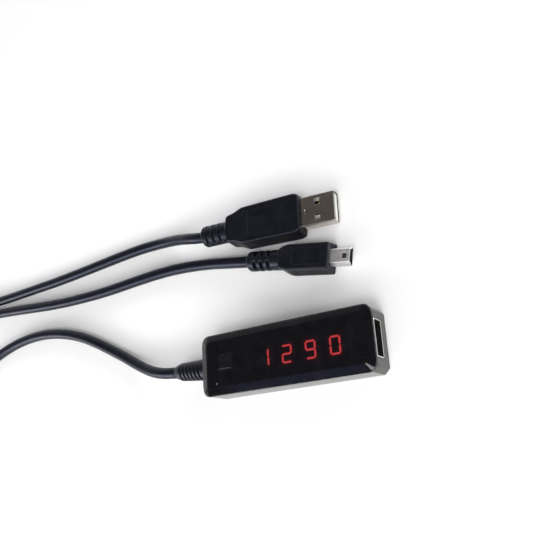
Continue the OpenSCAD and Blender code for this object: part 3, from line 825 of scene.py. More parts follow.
TRAY = Finish("tray plastic", (0.012, 0.0135, 0.010), (0.018, 0.020, 0.015), 0.17, relief=1.0, scale=2600,
              wear=0.2, rubbed=(0.06, 0.06, 0.055), dust=0.02, ior=1.53)
COVER = Finish("smoked acrylic", (0.0025, 0.0025, 0.004), (0.004, 0.004, 0.006), 0.06, 0.03, relief=0.1,
               scale=900, clear=0.22, ior=1.49, dust=0.012)
KEYCAP = Finish("key cap", (0.004, 0.004, 0.006), (0.006, 0.006, 0.008), 0.09, 0.05, relief=0.15, scale=1500,
                dust=0.02)
CORD = Finish("cord jacket", (0.0025, 0.003, 0.0065), (0.0045, 0.005, 0.009), 0.33, 0.06, Surface.JACKET,
              relief=8.0, scale=900, ior=1.4, dust=0.004, gleam=(0.45, 0.5, 0.76))
GRIP = Finish("moulded grip", (0.0035, 0.004, 0.0055), (0.006, 0.0065, 0.0085), 0.36, 0.1, relief=3.5,
              scale=3400, wear=0.3, rubbed=(0.022, 0.025, 0.036), dust=0.005, ior=1.42,
              gleam=(0.44, 0.48, 0.68))
# For the pile the first colour is the painted shade of the hollows and the second the lighter crests.
STRAP = Finish("loop strap", (0.006, 0.006, 0.007), (0.03, 0.03, 0.033), 0.85, 0.08, Surface.PILE,
               relief=90.0, scale=9000, sheen=0.12)
NICKEL = Finish("drawn nickel", (0.62, 0.58, 0.54), (0.54, 0.50, 0.46), 0.13, 0.09, Surface.DRAWN, relief=1.5,
                scale=2600, metal=1.0, wear=0.3, rubbed=(0.85, 0.82, 0.78))
# Painted shade: the dark colour of the shells' inner faces stands in for the shade inside their mouths.
PAINTED_SHADE_METAL = Finish("inner metal painted shade", (0.05, 0.048, 0.046), (0.035, 0.034, 0.033), 0.5, 0.1, Surface.DRAWN,
                relief=2.0, scale=2600, metal=1.0)
SATIN = Finish("satin nickel", (0.86, 0.85, 0.83), (0.78, 0.77, 0.76), 0.44, 0.06, Surface.DRAWN, relief=1.5,
               scale=2400, metal=1.0, wear=0.3, rubbed=(0.95, 0.94, 0.92))
RIM = Finish("bright socket rim", (0.9, 0.89, 0.88), (0.82, 0.81, 0.8), 0.3, 0.06, Surface.DRAWN, relief=1.5,
             scale=2600, metal=1.0, wear=0.3, rubbed=(0.95, 0.94, 0.92))
GOLD = Finish("gold flash", (0.9, 0.62, 0.22), (0.8, 0.52, 0.16), 0.2, 0.1, Surface.DRAWN, relief=1.0,
              scale=5000, metal=1.0)
TIN = Finish("tinned lead", (0.6, 0.6, 0.6), (0.45, 0.45, 0.46), 0.32, 0.15, relief=2.0, scale=6000,
             metal=1.0)
STEEL = Finish("zinc plate", (0.56, 0.56, 0.58), (0.44, 0.44, 0.47), 0.3, 0.12, Surface.DRAWN, relief=2.0,
               scale=4000, metal=1.0)
WHITE_NYLON = Finish("white nylon", (0.74, 0.74, 0.70), (0.66, 0.66, 0.62), 0.42, 0.1, relief=3.0, scale=3600)
BLACK_NYLON = Finish("black nylon", (0.012, 0.012, 0.013), (0.02, 0.02, 0.022), 0.45, 0.1, relief=3.0,
                     scale=3600)
MODULE = Finish("display case", (0.010, 0.010, 0.011), (0.018, 0.016, 0.016), 0.6, 0.1, relief=3.0,
                scale=2800)
LIT = Finish("lit bar", (0.3, 0.02, 0.015), (0.25, 0.015, 0.012), 0.5, 0.1, relief=2.0, scale=2600, glow=11.0)
UNLIT = Finish("dark bar", (0.035, 0.022, 0.022), (0.05, 0.03, 0.03), 0.5, 0.1, relief=2.0, scale=2600)
# The face's glow is painted light: the spill of the lit bars, falling off beside them.
HAZE = Finish("display face", (0.008, 0.008, 0.009), (0.014, 0.012, 0.012), 0.5, 0.1, relief=2.0, scale=2600,
              glow=0.75)
BOARD = Finish("solder mask", (0.012, 0.07, 0.03), (0.03, 0.14, 0.06), 0.28, 0.1, Surface.LAMINATE,
               relief=18.0, scale=420)
CHIP = Finish("chip package", (0.014, 0.014, 0.015), (0.024, 0.024, 0.026), 0.55, 0.1, relief=3.5, scale=5200)
CERAMIC = Finish("fired ceramic", (0.34, 0.22, 0.12), (0.28, 0.18, 0.1), 0.5, 0.1, relief=2.5, scale=6000)
GLASSED = Finish("resistor glass", (0.015, 0.015, 0.017), (0.03, 0.03, 0.032), 0.3, 0.1, relief=2.0,
                 scale=6000)
CAN = Finish("crystal can", (0.6, 0.6, 0.61), (0.5, 0.5, 0.52), 0.24, 0.1, Surface.DRAWN, relief=1.5,
             scale=4000, metal=1.0)
SWITCH = Finish("switch case", (0.02, 0.02, 0.021), (0.03, 0.03, 0.032), 0.5, 0.1, relief=3.0, scale=4200)
PLUNGER = Finish("switch plunger", (0.3, 0.03, 0.02), (0.24, 0.025, 0.02), 0.42, 0.1, relief=2.5, scale=4200)
PIPE = Finish("clear epoxy", (0.75, 0.78, 0.74), (0.65, 0.7, 0.66), 0.15, 0.06, relief=0.5, scale=2000,
              clear=0.35)
LENS = Finish("milky lens", (0.12, 0.14, 0.14), (0.09, 0.10, 0.10), 0.25, 0.06, relief=0.5, scale=2000)
WIRE = Finish("core insulation", (0.4, 0.02, 0.015), (0.3, 0.015, 0.012), 0.38, 0.1, relief=4.0, scale=3000)

NODE_FINISHES = {
    "board_screws": STEEL, "circuit_board": BOARD, "usb_socket_tongue": BLACK_NYLON,
    "usb_socket_contacts": GOLD, "display_module_1": MODULE, "display_module_2": MODULE,
    "display_module_3": MODULE, "display_module_4": MODULE, "display_pins": TIN, "unlit_segments": UNLIT,
    "key_switch_body": SWITCH, "key_switch_plunger": PLUNGER, "indicator_led": PIPE, "microcontroller": CHIP,
    "sense_amplifier": CHIP, "voltage_regulator": CHIP, "shunt_resistor": GLASSED, "crystal": CAN,
    "chip_resistors": GLASSED, "chip_capacitors": CERAMIC, "core_wires": WIRE, "wire_solder": TIN,
    "usb_a_tongue": WHITE_NYLON, "usb_a_contacts": GOLD, "mini_b_tongue": BLACK_NYLON,
    "mini_b_contacts": GOLD}


def dress_frame() -> None:
    """Gives each CAD node that no new piece stands for the finish of what it is."""
    for name, finish in NODE_FINISHES.items():
        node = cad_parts[name]
        node.data.materials.clear()
        node.data.materials.append(finish.material())
        LOG.info("%s: carried over, %s", name, finish.name)


# ---------------------------------------------------------------- studio

@dataclass(frozen=True)
class Softbox:
    """One soft light that faces the middle of the table.

    Attributes:
        name: name of the light.
        towards: direction from the table to the light.
        distance: how far away it is, in metres.
        side: width and height of the light, in metres.
        power: its power in watts.
        colour: its colour.
    """

    name: str
    towards: tuple[float, float, float]
    distance: float
    side: tuple[float, float]
    power: float
    colour: tuple[float, float, float]

    def build(self) -> None:
        """Makes the light."""
        data = bpy.data.lights.new(self.name, "AREA")
        data.shape = "RECTANGLE"
        data.size, data.size_y = self.side
        data.energy = self.power
        data.color = self.colour
        light = bpy.data.objects.new(self.name, data)
        bpy.context.scene.collection.objects.link(light)
        way = Vector(self.towards).normalized()
        facing = (-way).to_track_quat("-Z", "Y").to_matrix().to_4x4()
        light.matrix_world = Matrix.Translation(way * self.distance) @ facing


SOFTBOXES = (
    Softbox("main light", (-0.75, -0.55, 0.33), 1.4, (1.0, 0.5), 13.0, (1.0, 0.99, 0.97)),
    Softbox("right light", (0.6, -0.47, 0.73), 1.4, (1.1, 1.1), 7.5, (1.0, 1.0, 0.99)),
    Softbox("front light", (0.1, -1.0, 0.6), 1.4, (1.2, 0.8), 10.0, (1.0, 0.99, 0.97)),
    Softbox("overhead light", (0.1, -0.42, 0.9), 1.2, (0.45, 0.45), 4.5, (1.0, 1.0, 1.0)),
    Softbox("back light", (0.7, 1.1, 0.35), 1.3, (1.2, 0.6), 14.0, (0.96, 0.98, 1.0)),
    Softbox("bevel light", (-0.49, -0.336, 0.805), 1.3, (0.6, 0.5), 0.4, (0.4, 0.45, 1.0)),
)


@dataclass
class Studio:
    """Pale floor, surround and camera of the studio.

    Attributes:
        eye: place of the camera, in metres.
        aim: point on the floor that the camera looks at, in metres.
        roll: turn of the picture about the line of sight, in degrees.
        lens: focal length for the 36 mm sensor, in millimetres.
        floor_side: side of the square floor, in metres.
    """

    eye: tuple[float, float, float] = (0.1201, -0.0446, 0.2122)
    aim: tuple[float, float, float] = (-0.0066, 0.0324, 0.0)
    roll: float = -67.5
    lens: float = 43.0
    floor_side: float = 6.0

    def build_camera(self) -> None:
        """Makes the camera and looks through it."""
        data = bpy.data.cameras.new("camera")
        data.lens = self.lens
        data.sensor_width = 36.0
        data.clip_start = 0.005
        camera = bpy.data.objects.new("camera", data)
        bpy.context.scene.collection.objects.link(camera)
        sight = Vector(self.aim) - Vector(self.eye)
        upright = sight.to_track_quat("-Z", "Y").to_matrix().to_4x4()
        camera.matrix_world = (Matrix.Translation(self.eye) @ upright
                               @ Matrix.Rotation(math.radians(self.roll), 4, "Z"))
        bpy.context.scene.camera = camera

    def build_floor(self) -> None:
        """Makes the pale floor with a faint mottle in its tone."""
        material = bpy.data.materials.new("pale floor")
        material.use_nodes = True
        w = Wiring(material.node_tree)
        shader = material.node_tree.nodes["Principled BSDF"]
        drift = w.noise(w.node(WHERE).outputs["Object"], 3.0, 2.0)
        w.join(w.blend(drift, (0.86, 0.86, 0.86, 1), (0.88, 0.88, 0.88, 1)), shader.inputs["Base Color"])
        shader.inputs["Roughness"].default_value = 0.7
        shader.inputs["Specular IOR Level"].default_value = 0.1
        half = self.floor_side / 2
        mesh = bpy.data.meshes.new("floor")
        mesh.from_pydata([(-half, -half, 0), (half, -half, 0), (half, half, 0), (-half, half, 0)], [],
                         [(0, 1, 2, 3)])
        mesh.materials.append(material)
        floor = bpy.data.objects.new("floor", mesh)
        floor.location.z = -0.0001
        bpy.context.scene.collection.objects.link(floor)
        floor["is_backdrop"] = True

    def build_surround(self) -> None:
        """Makes a surround that is pale at the horizon and dark overhead, as over a studio table."""
        world = bpy.data.worlds.new("studio surround")
        bpy.context.scene.world = world
        world.use_nodes = True
        w = Wiring(world.node_tree)
        tilt = w.node("ShaderNodeSeparateXYZ")
        w.join(w.node(WHERE).outputs["Generated"], tilt.inputs[0])
        share = w.spread(tilt.outputs["Z"], 0.1, 0.6, 0.0, 1.0)
        colour = w.blend(share, (1.15, 1.17, 1.2, 1), (0.115, 0.105, 0.10, 1))
        w.join(colour, world.node_tree.nodes["Background"].inputs["Color"])

    def build(self) -> None:
        """Makes everything round the object except the camera."""
        self.build_floor()
        self.build_surround()
        for softbox in SOFTBOXES:
            softbox.build()
        bpy.context.scene.view_settings.view_transform = "Standard"


# ---------------------------------------------------------------- cords

@dataclass
class CordMaker:
    """Round cords of one diameter, swept along smooth lines.

    Attributes:
        diameter: diameter in millimetres.
        sides: points round the cord.
    """

    diameter: float = 4.6
    sides: int = 24

    def sweep(self, line: np.ndarray, name: str) -> bpy.types.Object:
        """Sweeps the cord's circle along a line.

        A point is the centreline's point plus the radius times cos(a) across and sin(a) up, where across is
        level and square to the line, and up is square to both. The UV map holds the distance along the
        cord and round it, in metres.

        Args:
            line: centreline in millimetres.
            name: name of the piece.

        Returns:
            The cord.
        """
        ahead = np.gradient(line, axis=0)
        ahead /= np.linalg.norm(ahead, axis=1, keepdims=True)
        across = np.stack([-ahead[:, 1], ahead[:, 0], np.zeros(len(line))], axis=1)
        across /= np.linalg.norm(across, axis=1, keepdims=True)
        up = np.cross(ahead, across)
        angle = np.linspace(0, 2 * math.pi, self.sides, endpoint=False)[None, :, None]
        radius = self.diameter / 2
        surface = line[:, None] + radius * (np.cos(angle) * across[:, None] + np.sin(angle) * up[:, None])
        along = np.broadcast_to(run_length(line)[:, None] * MM, (len(line), self.sides + 1))
        around = np.broadcast_to(np.linspace(0, 2 * math.pi, self.sides + 1) * radius * MM, along.shape)
        return closed_tube(name, surface, chart=np.stack([along, around], axis=2))

    def build(self, run: "Run") -> bpy.types.Object:
        """Builds one run of cord."""
        return mount_piece(self.sweep(run.line, run.name), CORD, "cord_pvc", *run.nodes)

    def declare(self, run: "Run", cord: bpy.types.Object) -> None:
        length = float(run_length(run.line)[-1]) * MM
        LOG.info("%s: %.1f mm long", cord.name, length / MM)
        list(run.pieces)


@dataclass
class MainLead:
    """Lead from the housing's boot, through its coil, to the splitter.

    Attributes:
        middle: centre of the coil.
        outer: radius of the outermost turn's centreline.
        step: how far the radius changes in one turn.
        turns: turns in the coil.
        low: height of the first layer's centreline.
        high: height of the second layer's centreline.
        tie_lift: how far the turns rise over the tie's lower run.
    """

    middle: tuple[float, float] = (-236.0, 33.0)
    outer: float = 22.2
    step: float = 4.64
    turns: float = 2.5
    low: float = 2.3
    high: float = 6.95
    tie_lift: float = 0.6

    def coil(self) -> np.ndarray:
        """Centreline of the coil.

        It turns clockwise from the side nearest the housing's line. The radius shrinks by one step a turn for
        half of the turns and then grows again, and the height climbs a layer where it starts to grow. Over
        the tie the turns rise by a smooth hump.
        """
        turn = np.linspace(0, self.turns, 220)[1:-1]
        angle = -math.pi / 2 - 2 * math.pi * turn
        half = self.turns / 2
        radius = self.outer - self.step * np.minimum(turn, self.turns - turn)
        height = self.low + (self.high - self.low) * smooth_step(half - 0.25, half + 0.1, turn)
        from_tie = np.abs((turn - 0.25 + 0.5) % 1 - 0.5)
        height = height + self.tie_lift * (1 - smooth_step(0.02, 0.11, from_tie))
        return np.stack([self.middle[0] + radius * np.cos(angle), self.middle[1] + radius * np.sin(angle),
                         height], axis=1)

    def line(self) -> np.ndarray:
        """Whole centreline of the lead."""
        return np.vstack([smooth_line(METER_ROUTE), self.coil(), smooth_line(SPLITTER_ROUTE)])


# ---------------------------------------------------------------- moulded relief

@dataclass
class Relief:
    """Strain relief: a round sleeve with slots cut in from two sides, which leave webs between its rings.

    Attributes:
        name: name of the piece.
        stations: distances from the sleeve's root.
        radii: radius at each station.
        slots: places of the slots' middles.
        slot_width: width of a slot.
        slot_depth: depth of a slot.
        web_angle: angle of the webs' middle round the axis, in degrees.
        web_width: half of the angle that a web takes, in degrees.
        lean: how far the sleeve outside the root bends to its right, in degrees.
        spacing: distance between rings.
        sides: points on a ring.
    """

    name: str
    stations: list
    radii: list
    slots: list
    slot_width: float
    slot_depth: float
    web_angle: float
    web_width: float
    lean: float = 0.0
    spacing: float = 0.12
    sides: int = 48

    def surface(self) -> np.ndarray:
        """Sleeve along +X.

        Its radius is the smoothed profile less the slot's depth, where the slot's share goes from zero to one
        at its walls and back to zero round each web.
        """
        first, last = self.stations[0], self.stations[-1]
        x = np.linspace(first, last, int((last - first) / self.spacing) + 1)
        radius = soften(np.interp(x, self.stations, self.radii), 7)[:, None]
        angle = np.linspace(0, 2 * math.pi, self.sides, endpoint=False)[None, :]
        cut = np.zeros((len(x), self.sides))
        half = math.radians(self.web_width)
        off_web = np.abs(np.arcsin(np.clip(np.sin(angle - math.radians(self.web_angle)), -1, 1)))
        for middle in self.slots:
            wall = self.slot_width / 2
            inside = 1 - smooth_step(wall - 0.08, wall + 0.14, np.abs(x - middle))
            cut = np.maximum(cut, inside[:, None] * smooth_step(half, half + 0.25, off_web))
        radius = radius - self.slot_depth * cut
        aside = -np.clip(x, 0, None)[:, None] * math.tan(math.radians(self.lean))
        return np.stack([np.broadcast_to(x[:, None], radius.shape), radius * np.cos(angle) + aside,
                         radius * np.sin(angle)], axis=2)

    def build(self, place: Matrix) -> bpy.types.Object:
        """Builds the sleeve, closed at both ends."""
        return closed_tube(self.name, self.surface(), place)


def placing(at: tuple, turns: tuple = (0, 0, 0)) -> Matrix:
    """Placing in millimetres: turned about X, then Y, then Z, in degrees, and moved."""
    rx, ry, rz = (Matrix.Rotation(math.radians(a), 4, axis) for a, axis in zip(turns, "XYZ"))
    return Matrix.Translation(at) @ rz @ ry @ rx


BACKWARDS = Matrix.Rotation(math.pi, 4, "Z")


# ---------------------------------------------------------------- moulded bodies

def box_rings(half_y: np.ndarray, half_z: np.ndarray, corner: np.ndarray, steps: int, wide: int,
              tall: int) -> np.ndarray:
    """Rings of rounded rectangles with extra points along their flats.

    Args:
        half_y: half width of each ring.
        half_z: half height of each ring.
        corner: reach of the corner arcs.
        steps: points on an arc.
        wide: spans on the top and the bottom flats.
        tall: spans on the side flats.

    Returns:
        Y and Z of the rings' points, rings by points by 2.
    """
    arcs = box_ring(half_y, half_z, corner, steps)
    quarters = np.split(arcs, 4, axis=1)
    parts = []
    for number, quarter in enumerate(quarters):
        spans = wide if number % 2 == 0 else tall
        following = quarters[(number + 1) % 4]
        start, end = quarter[:, -1:], following[:, :1]
        share = np.linspace(0, 1, spans + 1)[1:-1][None, :, None]
        parts += [quarter, start + (end - start) * share]
    return np.concatenate(parts, axis=1)


@dataclass
class Moulding:
    """Moulded body, drawn along X with its mouth at x = 0 and its neck at negative x.

    Attributes:
        name: name of the piece.
        stations: places along the grip, from the mouth backwards.
        half_widths: half width at each station.
        half_heights: half height at each station.
        corner: reach of the rounding along its long edges.
        mouth: half width and half height of the pocket that a shell stands in, or None.
        panel: front, back and half width of the raised panel.
        ribs: number of ribs on each side.
        rib_pitch: distance between ribs.
        rib_start: place of the first rib.
        rib_depth: depth of the grooves between the ribs.
        spacing: distance between rings.
        panel_rise: height of the panel.
        edge: radius of the rounding at both ends.
        draft: share of its width that it loses between its middle and its top.
    """

    name: str
    stations: list
    half_widths: list
    half_heights: list
    corner: float
    mouth: tuple[float, float] | None
    panel: tuple[float, float, float]
    ribs: int = 0
    rib_pitch: float = 1.3
    rib_start: float = -1.2
    rib_depth: float = 0.8
    spacing: float = 0.2
    panel_rise: float = 0.16
    edge: float = 0.55
    draft: float = 0.0

    def body(self) -> np.ndarray:
        """Outer surface from the mouth's edge to the back end.

        Each ring is a rounded rectangle whose half sizes follow the smoothed profile. Near the mouth and the
        back they shrink by edge less the root of edge squared less the depth squared, a quarter circle. The
        panel lifts the top where it is inside its outline, and the ribs sink the sides by a raised cosine.
        The sides lean in towards the top by the draft.
        """
        length = -self.stations[-1]
        even = np.linspace(0, length, int(length / self.spacing) + 1)
        round_in = self.edge * (1 - np.cos(np.linspace(0, math.pi / 2, 6)))
        depth = np.unique(np.concatenate([even, round_in, length - round_in]))
        back = -np.asarray(self.stations, float)
        half_y = soften(np.interp(depth, back, self.half_widths), 7)
        half_z = soften(np.interp(depth, back, self.half_heights), 7)
        to_end = np.minimum(depth, length - depth)
        short = np.clip(self.edge - to_end, 0, None)
        inset = self.edge - np.sqrt(np.clip(self.edge**2 - short**2, 0, None))
        rings = box_rings(half_y - inset, half_z - inset, np.full(len(depth), self.corner), 6, 44, 18)
        away = np.broadcast_to(-depth[:, None, None], rings.shape[:2] + (1,))
        surface = np.concatenate([away, rings], axis=2)
        self._raise_panel(surface)
        self._cut_ribs(surface)
        surface[..., 1] *= 1 - self.draft * surface[..., 2] / max(self.half_heights)
        return surface

    def _raise_panel(self, surface: np.ndarray) -> None:
        """Lifts the top inside a rounded rectangle, whose edge is a soft step."""
        front, back, half = self.panel
        x, y, z = surface[..., 0], surface[..., 1], surface[..., 2]
        middle, reach = (front + back) / 2, abs(front - back) / 2
        away = np.hypot(np.clip(np.abs(x - middle) - reach + 1.2, 0, None),
                        np.clip(np.abs(y) - half + 1.2, 0, None)) - 1.2
        surface[..., 2] += np.where(z > 0, self.panel_rise * (1 - smooth_step(-0.3, 0.1, away)), 0)

    def _cut_ribs(self, surface: np.ndarray) -> None:
        """Sinks the grooves between the ribs into both sides."""
        if not self.ribs:
            return
        x, y, z = surface[..., 0], surface[..., 1], surface[..., 2]
        end = self.rib_start - self.ribs * self.rib_pitch
        band = smooth_step(end - 0.3, end, x) * (1 - smooth_step(self.rib_start, self.rib_start + 0.3, x))
        tall = 1 - smooth_step(2.1, 2.7, np.abs(z))
        wave = 0.5 + 0.5 * np.cos(2 * math.pi * (x - self.rib_start) / self.rib_pitch)
        side = smooth_step(0.85, 0.98, np.abs(y) / np.abs(y).max(axis=1, keepdims=True))
        surface[..., 1] -= np.sign(y) * self.rib_depth * wave**2 * band * tall * side

    def build(self, place: Matrix) -> bpy.types.Object:
        """Builds the moulding, with the pocket that a shell stands in."""
        surface = self.body()
        if self.mouth:
            half_y, half_z = (np.full(2, half) for half in self.mouth)
            pocket = box_rings(half_y, half_z, np.full(2, 0.6), 6, 44, 18)
            depth = np.broadcast_to(np.array([-4.0, 0.0])[:, None, None], pocket.shape[:2] + (1,))
            surface = np.concatenate([np.concatenate([depth, pocket], axis=2), surface])
        return closed_tube(self.name, surface, place)


# ---------------------------------------------------------------- sheet metal

def sheet_ring(half_y: float, half_z: float, corner: float, marks: list) -> np.ndarray:
    """Rounded rectangle with points at given places of its top and its bottom.

    Args:
        half_y: half width.
        half_z: half height.
        corner: reach of the corner arcs.
        marks: Y of the extra points, from right to left.

    Returns:
        Y and Z of the points, anticlockwise seen from +X.
    """
    arcs = np.split(box_ring([half_y], [half_z], [corner], 5)[0], 4)
    top = np.stack([marks, np.full(len(marks), half_z)], axis=1)
    bottom = np.stack([marks[::-1], np.full(len(marks), -half_z)], axis=1)
    return np.vstack([arcs[0], top, arcs[1], arcs[2], bottom, arcs[3]])


def sweep_ring(ring: np.ndarray, places: np.ndarray) -> np.ndarray:
    """Surface of a ring that is carried along X to each place."""
    rows = np.broadcast_to(ring[None], (len(places),) + ring.shape)
    return np.concatenate([np.broadcast_to(places[:, None, None], rows.shape[:2] + (1,)), rows], axis=2)


def face_middles(surface: np.ndarray) -> np.ndarray:
    """Middle of each face of a wrapped grid."""
    around = surface + np.roll(surface, -1, axis=1)
    return (around[:-1] + around[1:]) / 4


@dataclass
class SheetShell:
    """Folded shell of a connector: a rounded box section with windows cut in it.

    Attributes:
        name: name of the piece.
        half_y: half width.
        half_z: half height.
        start: where it starts, along X.
        end: where its mouth is.
        windows: ends along X and inner and outer edge of the windows, from the middle.
        corner: reach of its corner arcs.
        sheet: thickness of the sheet.
        spacing: distance between rows.
        dimple: place of a pressed dimple on its top, or None.
    """

    name: str
    half_y: float
    half_z: float
    start: float
    end: float
    windows: tuple[float, float, float, float]
    corner: float
    sheet: float
    spacing: float = 0.2
    dimple: tuple[float, float] | None = None

    def build(self, place: Matrix) -> bpy.types.Object:
        """Builds the shell with its windows, and sinks its dimple as a soft round step."""
        near, far, inner, outer = self.windows
        side = np.concatenate([np.linspace(self.half_y - self.corner - 0.1, outer, 5),
                               np.linspace(outer, inner, 9)[1:]])
        middle = np.linspace(inner, -inner, 14)[1:-1]
        marks = np.concatenate([side, middle, -side[::-1]])
        rows = np.round((self.end - self.start) / self.spacing).astype(int) + 1
        places = np.linspace(self.start, self.end, rows)
        surface = sweep_ring(sheet_ring(self.half_y, self.half_z, self.corner, marks), places)
        if self.dimple:
            away = np.hypot(surface[..., 0] - self.dimple[0], surface[..., 1] - self.dimple[1])
            sunk = 0.28 * (1 - smooth_step(0.4, 0.85, away))
            surface[..., 2] -= np.where(surface[..., 2] > self.half_z - 0.01, sunk, 0)
        x, y, z = np.moveaxis(face_middles(surface), 2, 0)
        hole = (x > near) & (x < far) & (np.abs(y) > inner) & (np.abs(y) < outer)
        hole &= np.abs(z) > self.half_z - 0.01
        piece = sheet_piece(self.name, surface, self.sheet, place, keep=~hole, inner=1)
        round_edges(piece, 0.09, limit=35, segments=2)
        return piece


@dataclass
class MiniShell:
    """Shell of the mini plug, whose section narrows in two steps towards its top.

    Attributes:
        half_y: half width.
        half_z: half height.
        start: where it starts, along X.
        end: where its mouth is.
        notch: ends of the notch in its top, and its half width.
        step: height of its wide foot, height of its slope, and how far the slope goes in.
        corner: reach of its corner arcs.
        sheet: thickness of the sheet.
    """

    half_y: float = 3.45
    half_z: float = 1.55
    start: float = -3.9
    end: float = 7.8
    notch: tuple[float, float, float] = (4.8, 6.6, 1.0)
    step: tuple[float, float, float] = (1.1, 1.4, 0.9)
    corner: float = 0.28
    sheet: float = 0.3

    def section(self) -> list:
        """Corners of the section, anticlockwise seen from +X."""
        w, h = self.half_y, self.half_z
        foot, slope, inward = self.step
        right = [(w, -h), (w, foot - h), (w - inward, foot + slope - h), (w - inward, h)]
        return right + [(-y, z) for y, z in reversed(right)]

    def build(self, place: Matrix) -> bpy.types.Object:
        """Builds the shell with the notch in its top."""
        near, far, half = self.notch
        ring = rounded_outline(self.section(), self.corner)
        top = np.flatnonzero((ring[:, 1] > self.half_z - 1e-6) & (ring[:, 0] > 0))[-1] + 1
        marks = [(y, self.half_z) for y in (half, half / 3, -half / 3, -half)]
        ring = np.insert(ring, top, marks, axis=0)
        places = np.concatenate([np.linspace(self.start, near, 20), np.linspace(near, far, 6)[1:],
                                 np.linspace(far, self.end, 5)[1:]])
        surface = sweep_ring(ring, places)
        x, y, z = np.moveaxis(face_middles(surface), 2, 0)
        hole = (x > near) & (x < far) & (np.abs(y) < half) & (z > self.half_z - 0.01)
        piece = sheet_piece("mini_b_folded_shell", surface, self.sheet, place, keep=~hole, inner=1)
        round_edges(piece, 0.09, limit=35, segments=2)
        return piece


# ---------------------------------------------------------------- housing

@dataclass
class Cover:
    """Smoked cover: a bevelled lid with a rounded plan, a key hole and a tongue over the boot's notch.

    Attributes:
        half: half length and half width.
        foot: height of its lower edge.
        brow: height where its side meets the bevel.
        top: height of its flat top.
        flat: half length and half width of the flat.
        ceiling: height of the underside of its flat.
        inner: half length and half width inside its rim.
        inner_brow: height where the rim's inside meets the slope.
        key_at: centre of the key hole.
        key_half: half side of the key hole.
        outer_legs: reach of its outer corners' arcs along X and Y.
        slope_legs: reach of its flat's corners' arcs.
        hole_legs: reach of the key hole's corners' arcs.
        tongue: two opposite corners of the tongue.
        edge: width of the rounding along its edges.
    """

    half: tuple[float, float] = (35.8, 11.7)
    foot: float = 10.4
    brow: float = 11.75
    top: float = 12.9
    flat: tuple[float, float] = (32.85, 8.75)
    ceiling: float = 11.7
    inner: tuple[float, float] = (34.6, 10.5)
    inner_brow: float = 11.02
    key_at: tuple[float, float] = (-24.4, 0.5)
    key_half: float = 2.82
    outer_legs: tuple[float, float] = (3.4, 4.6)
    slope_legs: tuple[float, float] = (1.6, 2.4)
    hole_legs: tuple[float, float] = (0.3, 0.3)
    tongue: tuple = ((-35.55, -2.8, 8.9), (-34.45, 2.8, 10.6))
    edge: float = 0.28

    def ring(self, half: tuple, legs: tuple, height: float, centre: tuple = (0.0, 0.0)) -> np.ndarray:
        """Rectangle in plan with a parabola arc at each corner.

        An arc runs from one leg's end to the other's: along X the corner gives way by the leg times s
        squared, and along Y by the other leg times the square of one less s.
        """
        s = np.linspace(0, 1, 13)
        x, y = half[0] - legs[0] * s**2, half[1] - legs[1] * (1 - s) ** 2
        quarter = np.stack([x, y], axis=1)
        turned = quarter[::-1] * (-1, 1)
        plan = np.vstack([quarter, turned, -quarter, -turned]) + centre
        return np.concatenate([plan, np.full((len(plan), 1), height)], axis=1)

    def build(self) -> bpy.types.Object:
        """Builds the lid as rings that run round its whole section, and the tongue as a block."""
        outer, slope, lip = self.outer_legs, self.slope_legs, self.hole_legs
        hole = (self.key_half, self.key_half)
        rings = [self.ring(self.half, outer, self.foot), self.ring(self.half, outer, self.brow),
                 self.ring(self.flat, slope, self.top), self.ring(hole, lip, self.top, self.key_at),
                 self.ring(hole, lip, self.ceiling, self.key_at), self.ring(self.flat, slope, self.ceiling),
                 self.ring(self.inner, slope, self.inner_brow), self.ring(self.inner, slope, self.foot)]
        skin = Skin()
        skin.grid(np.stack(rings + rings[:1]), wrap=True)
        skin.block(*self.tongue)
        piece = skin.build("smoked_cover_lid")
        round_edges(piece, self.edge, limit=16)
        return mount_piece(piece, COVER, "smoked_cover", "top_cover")


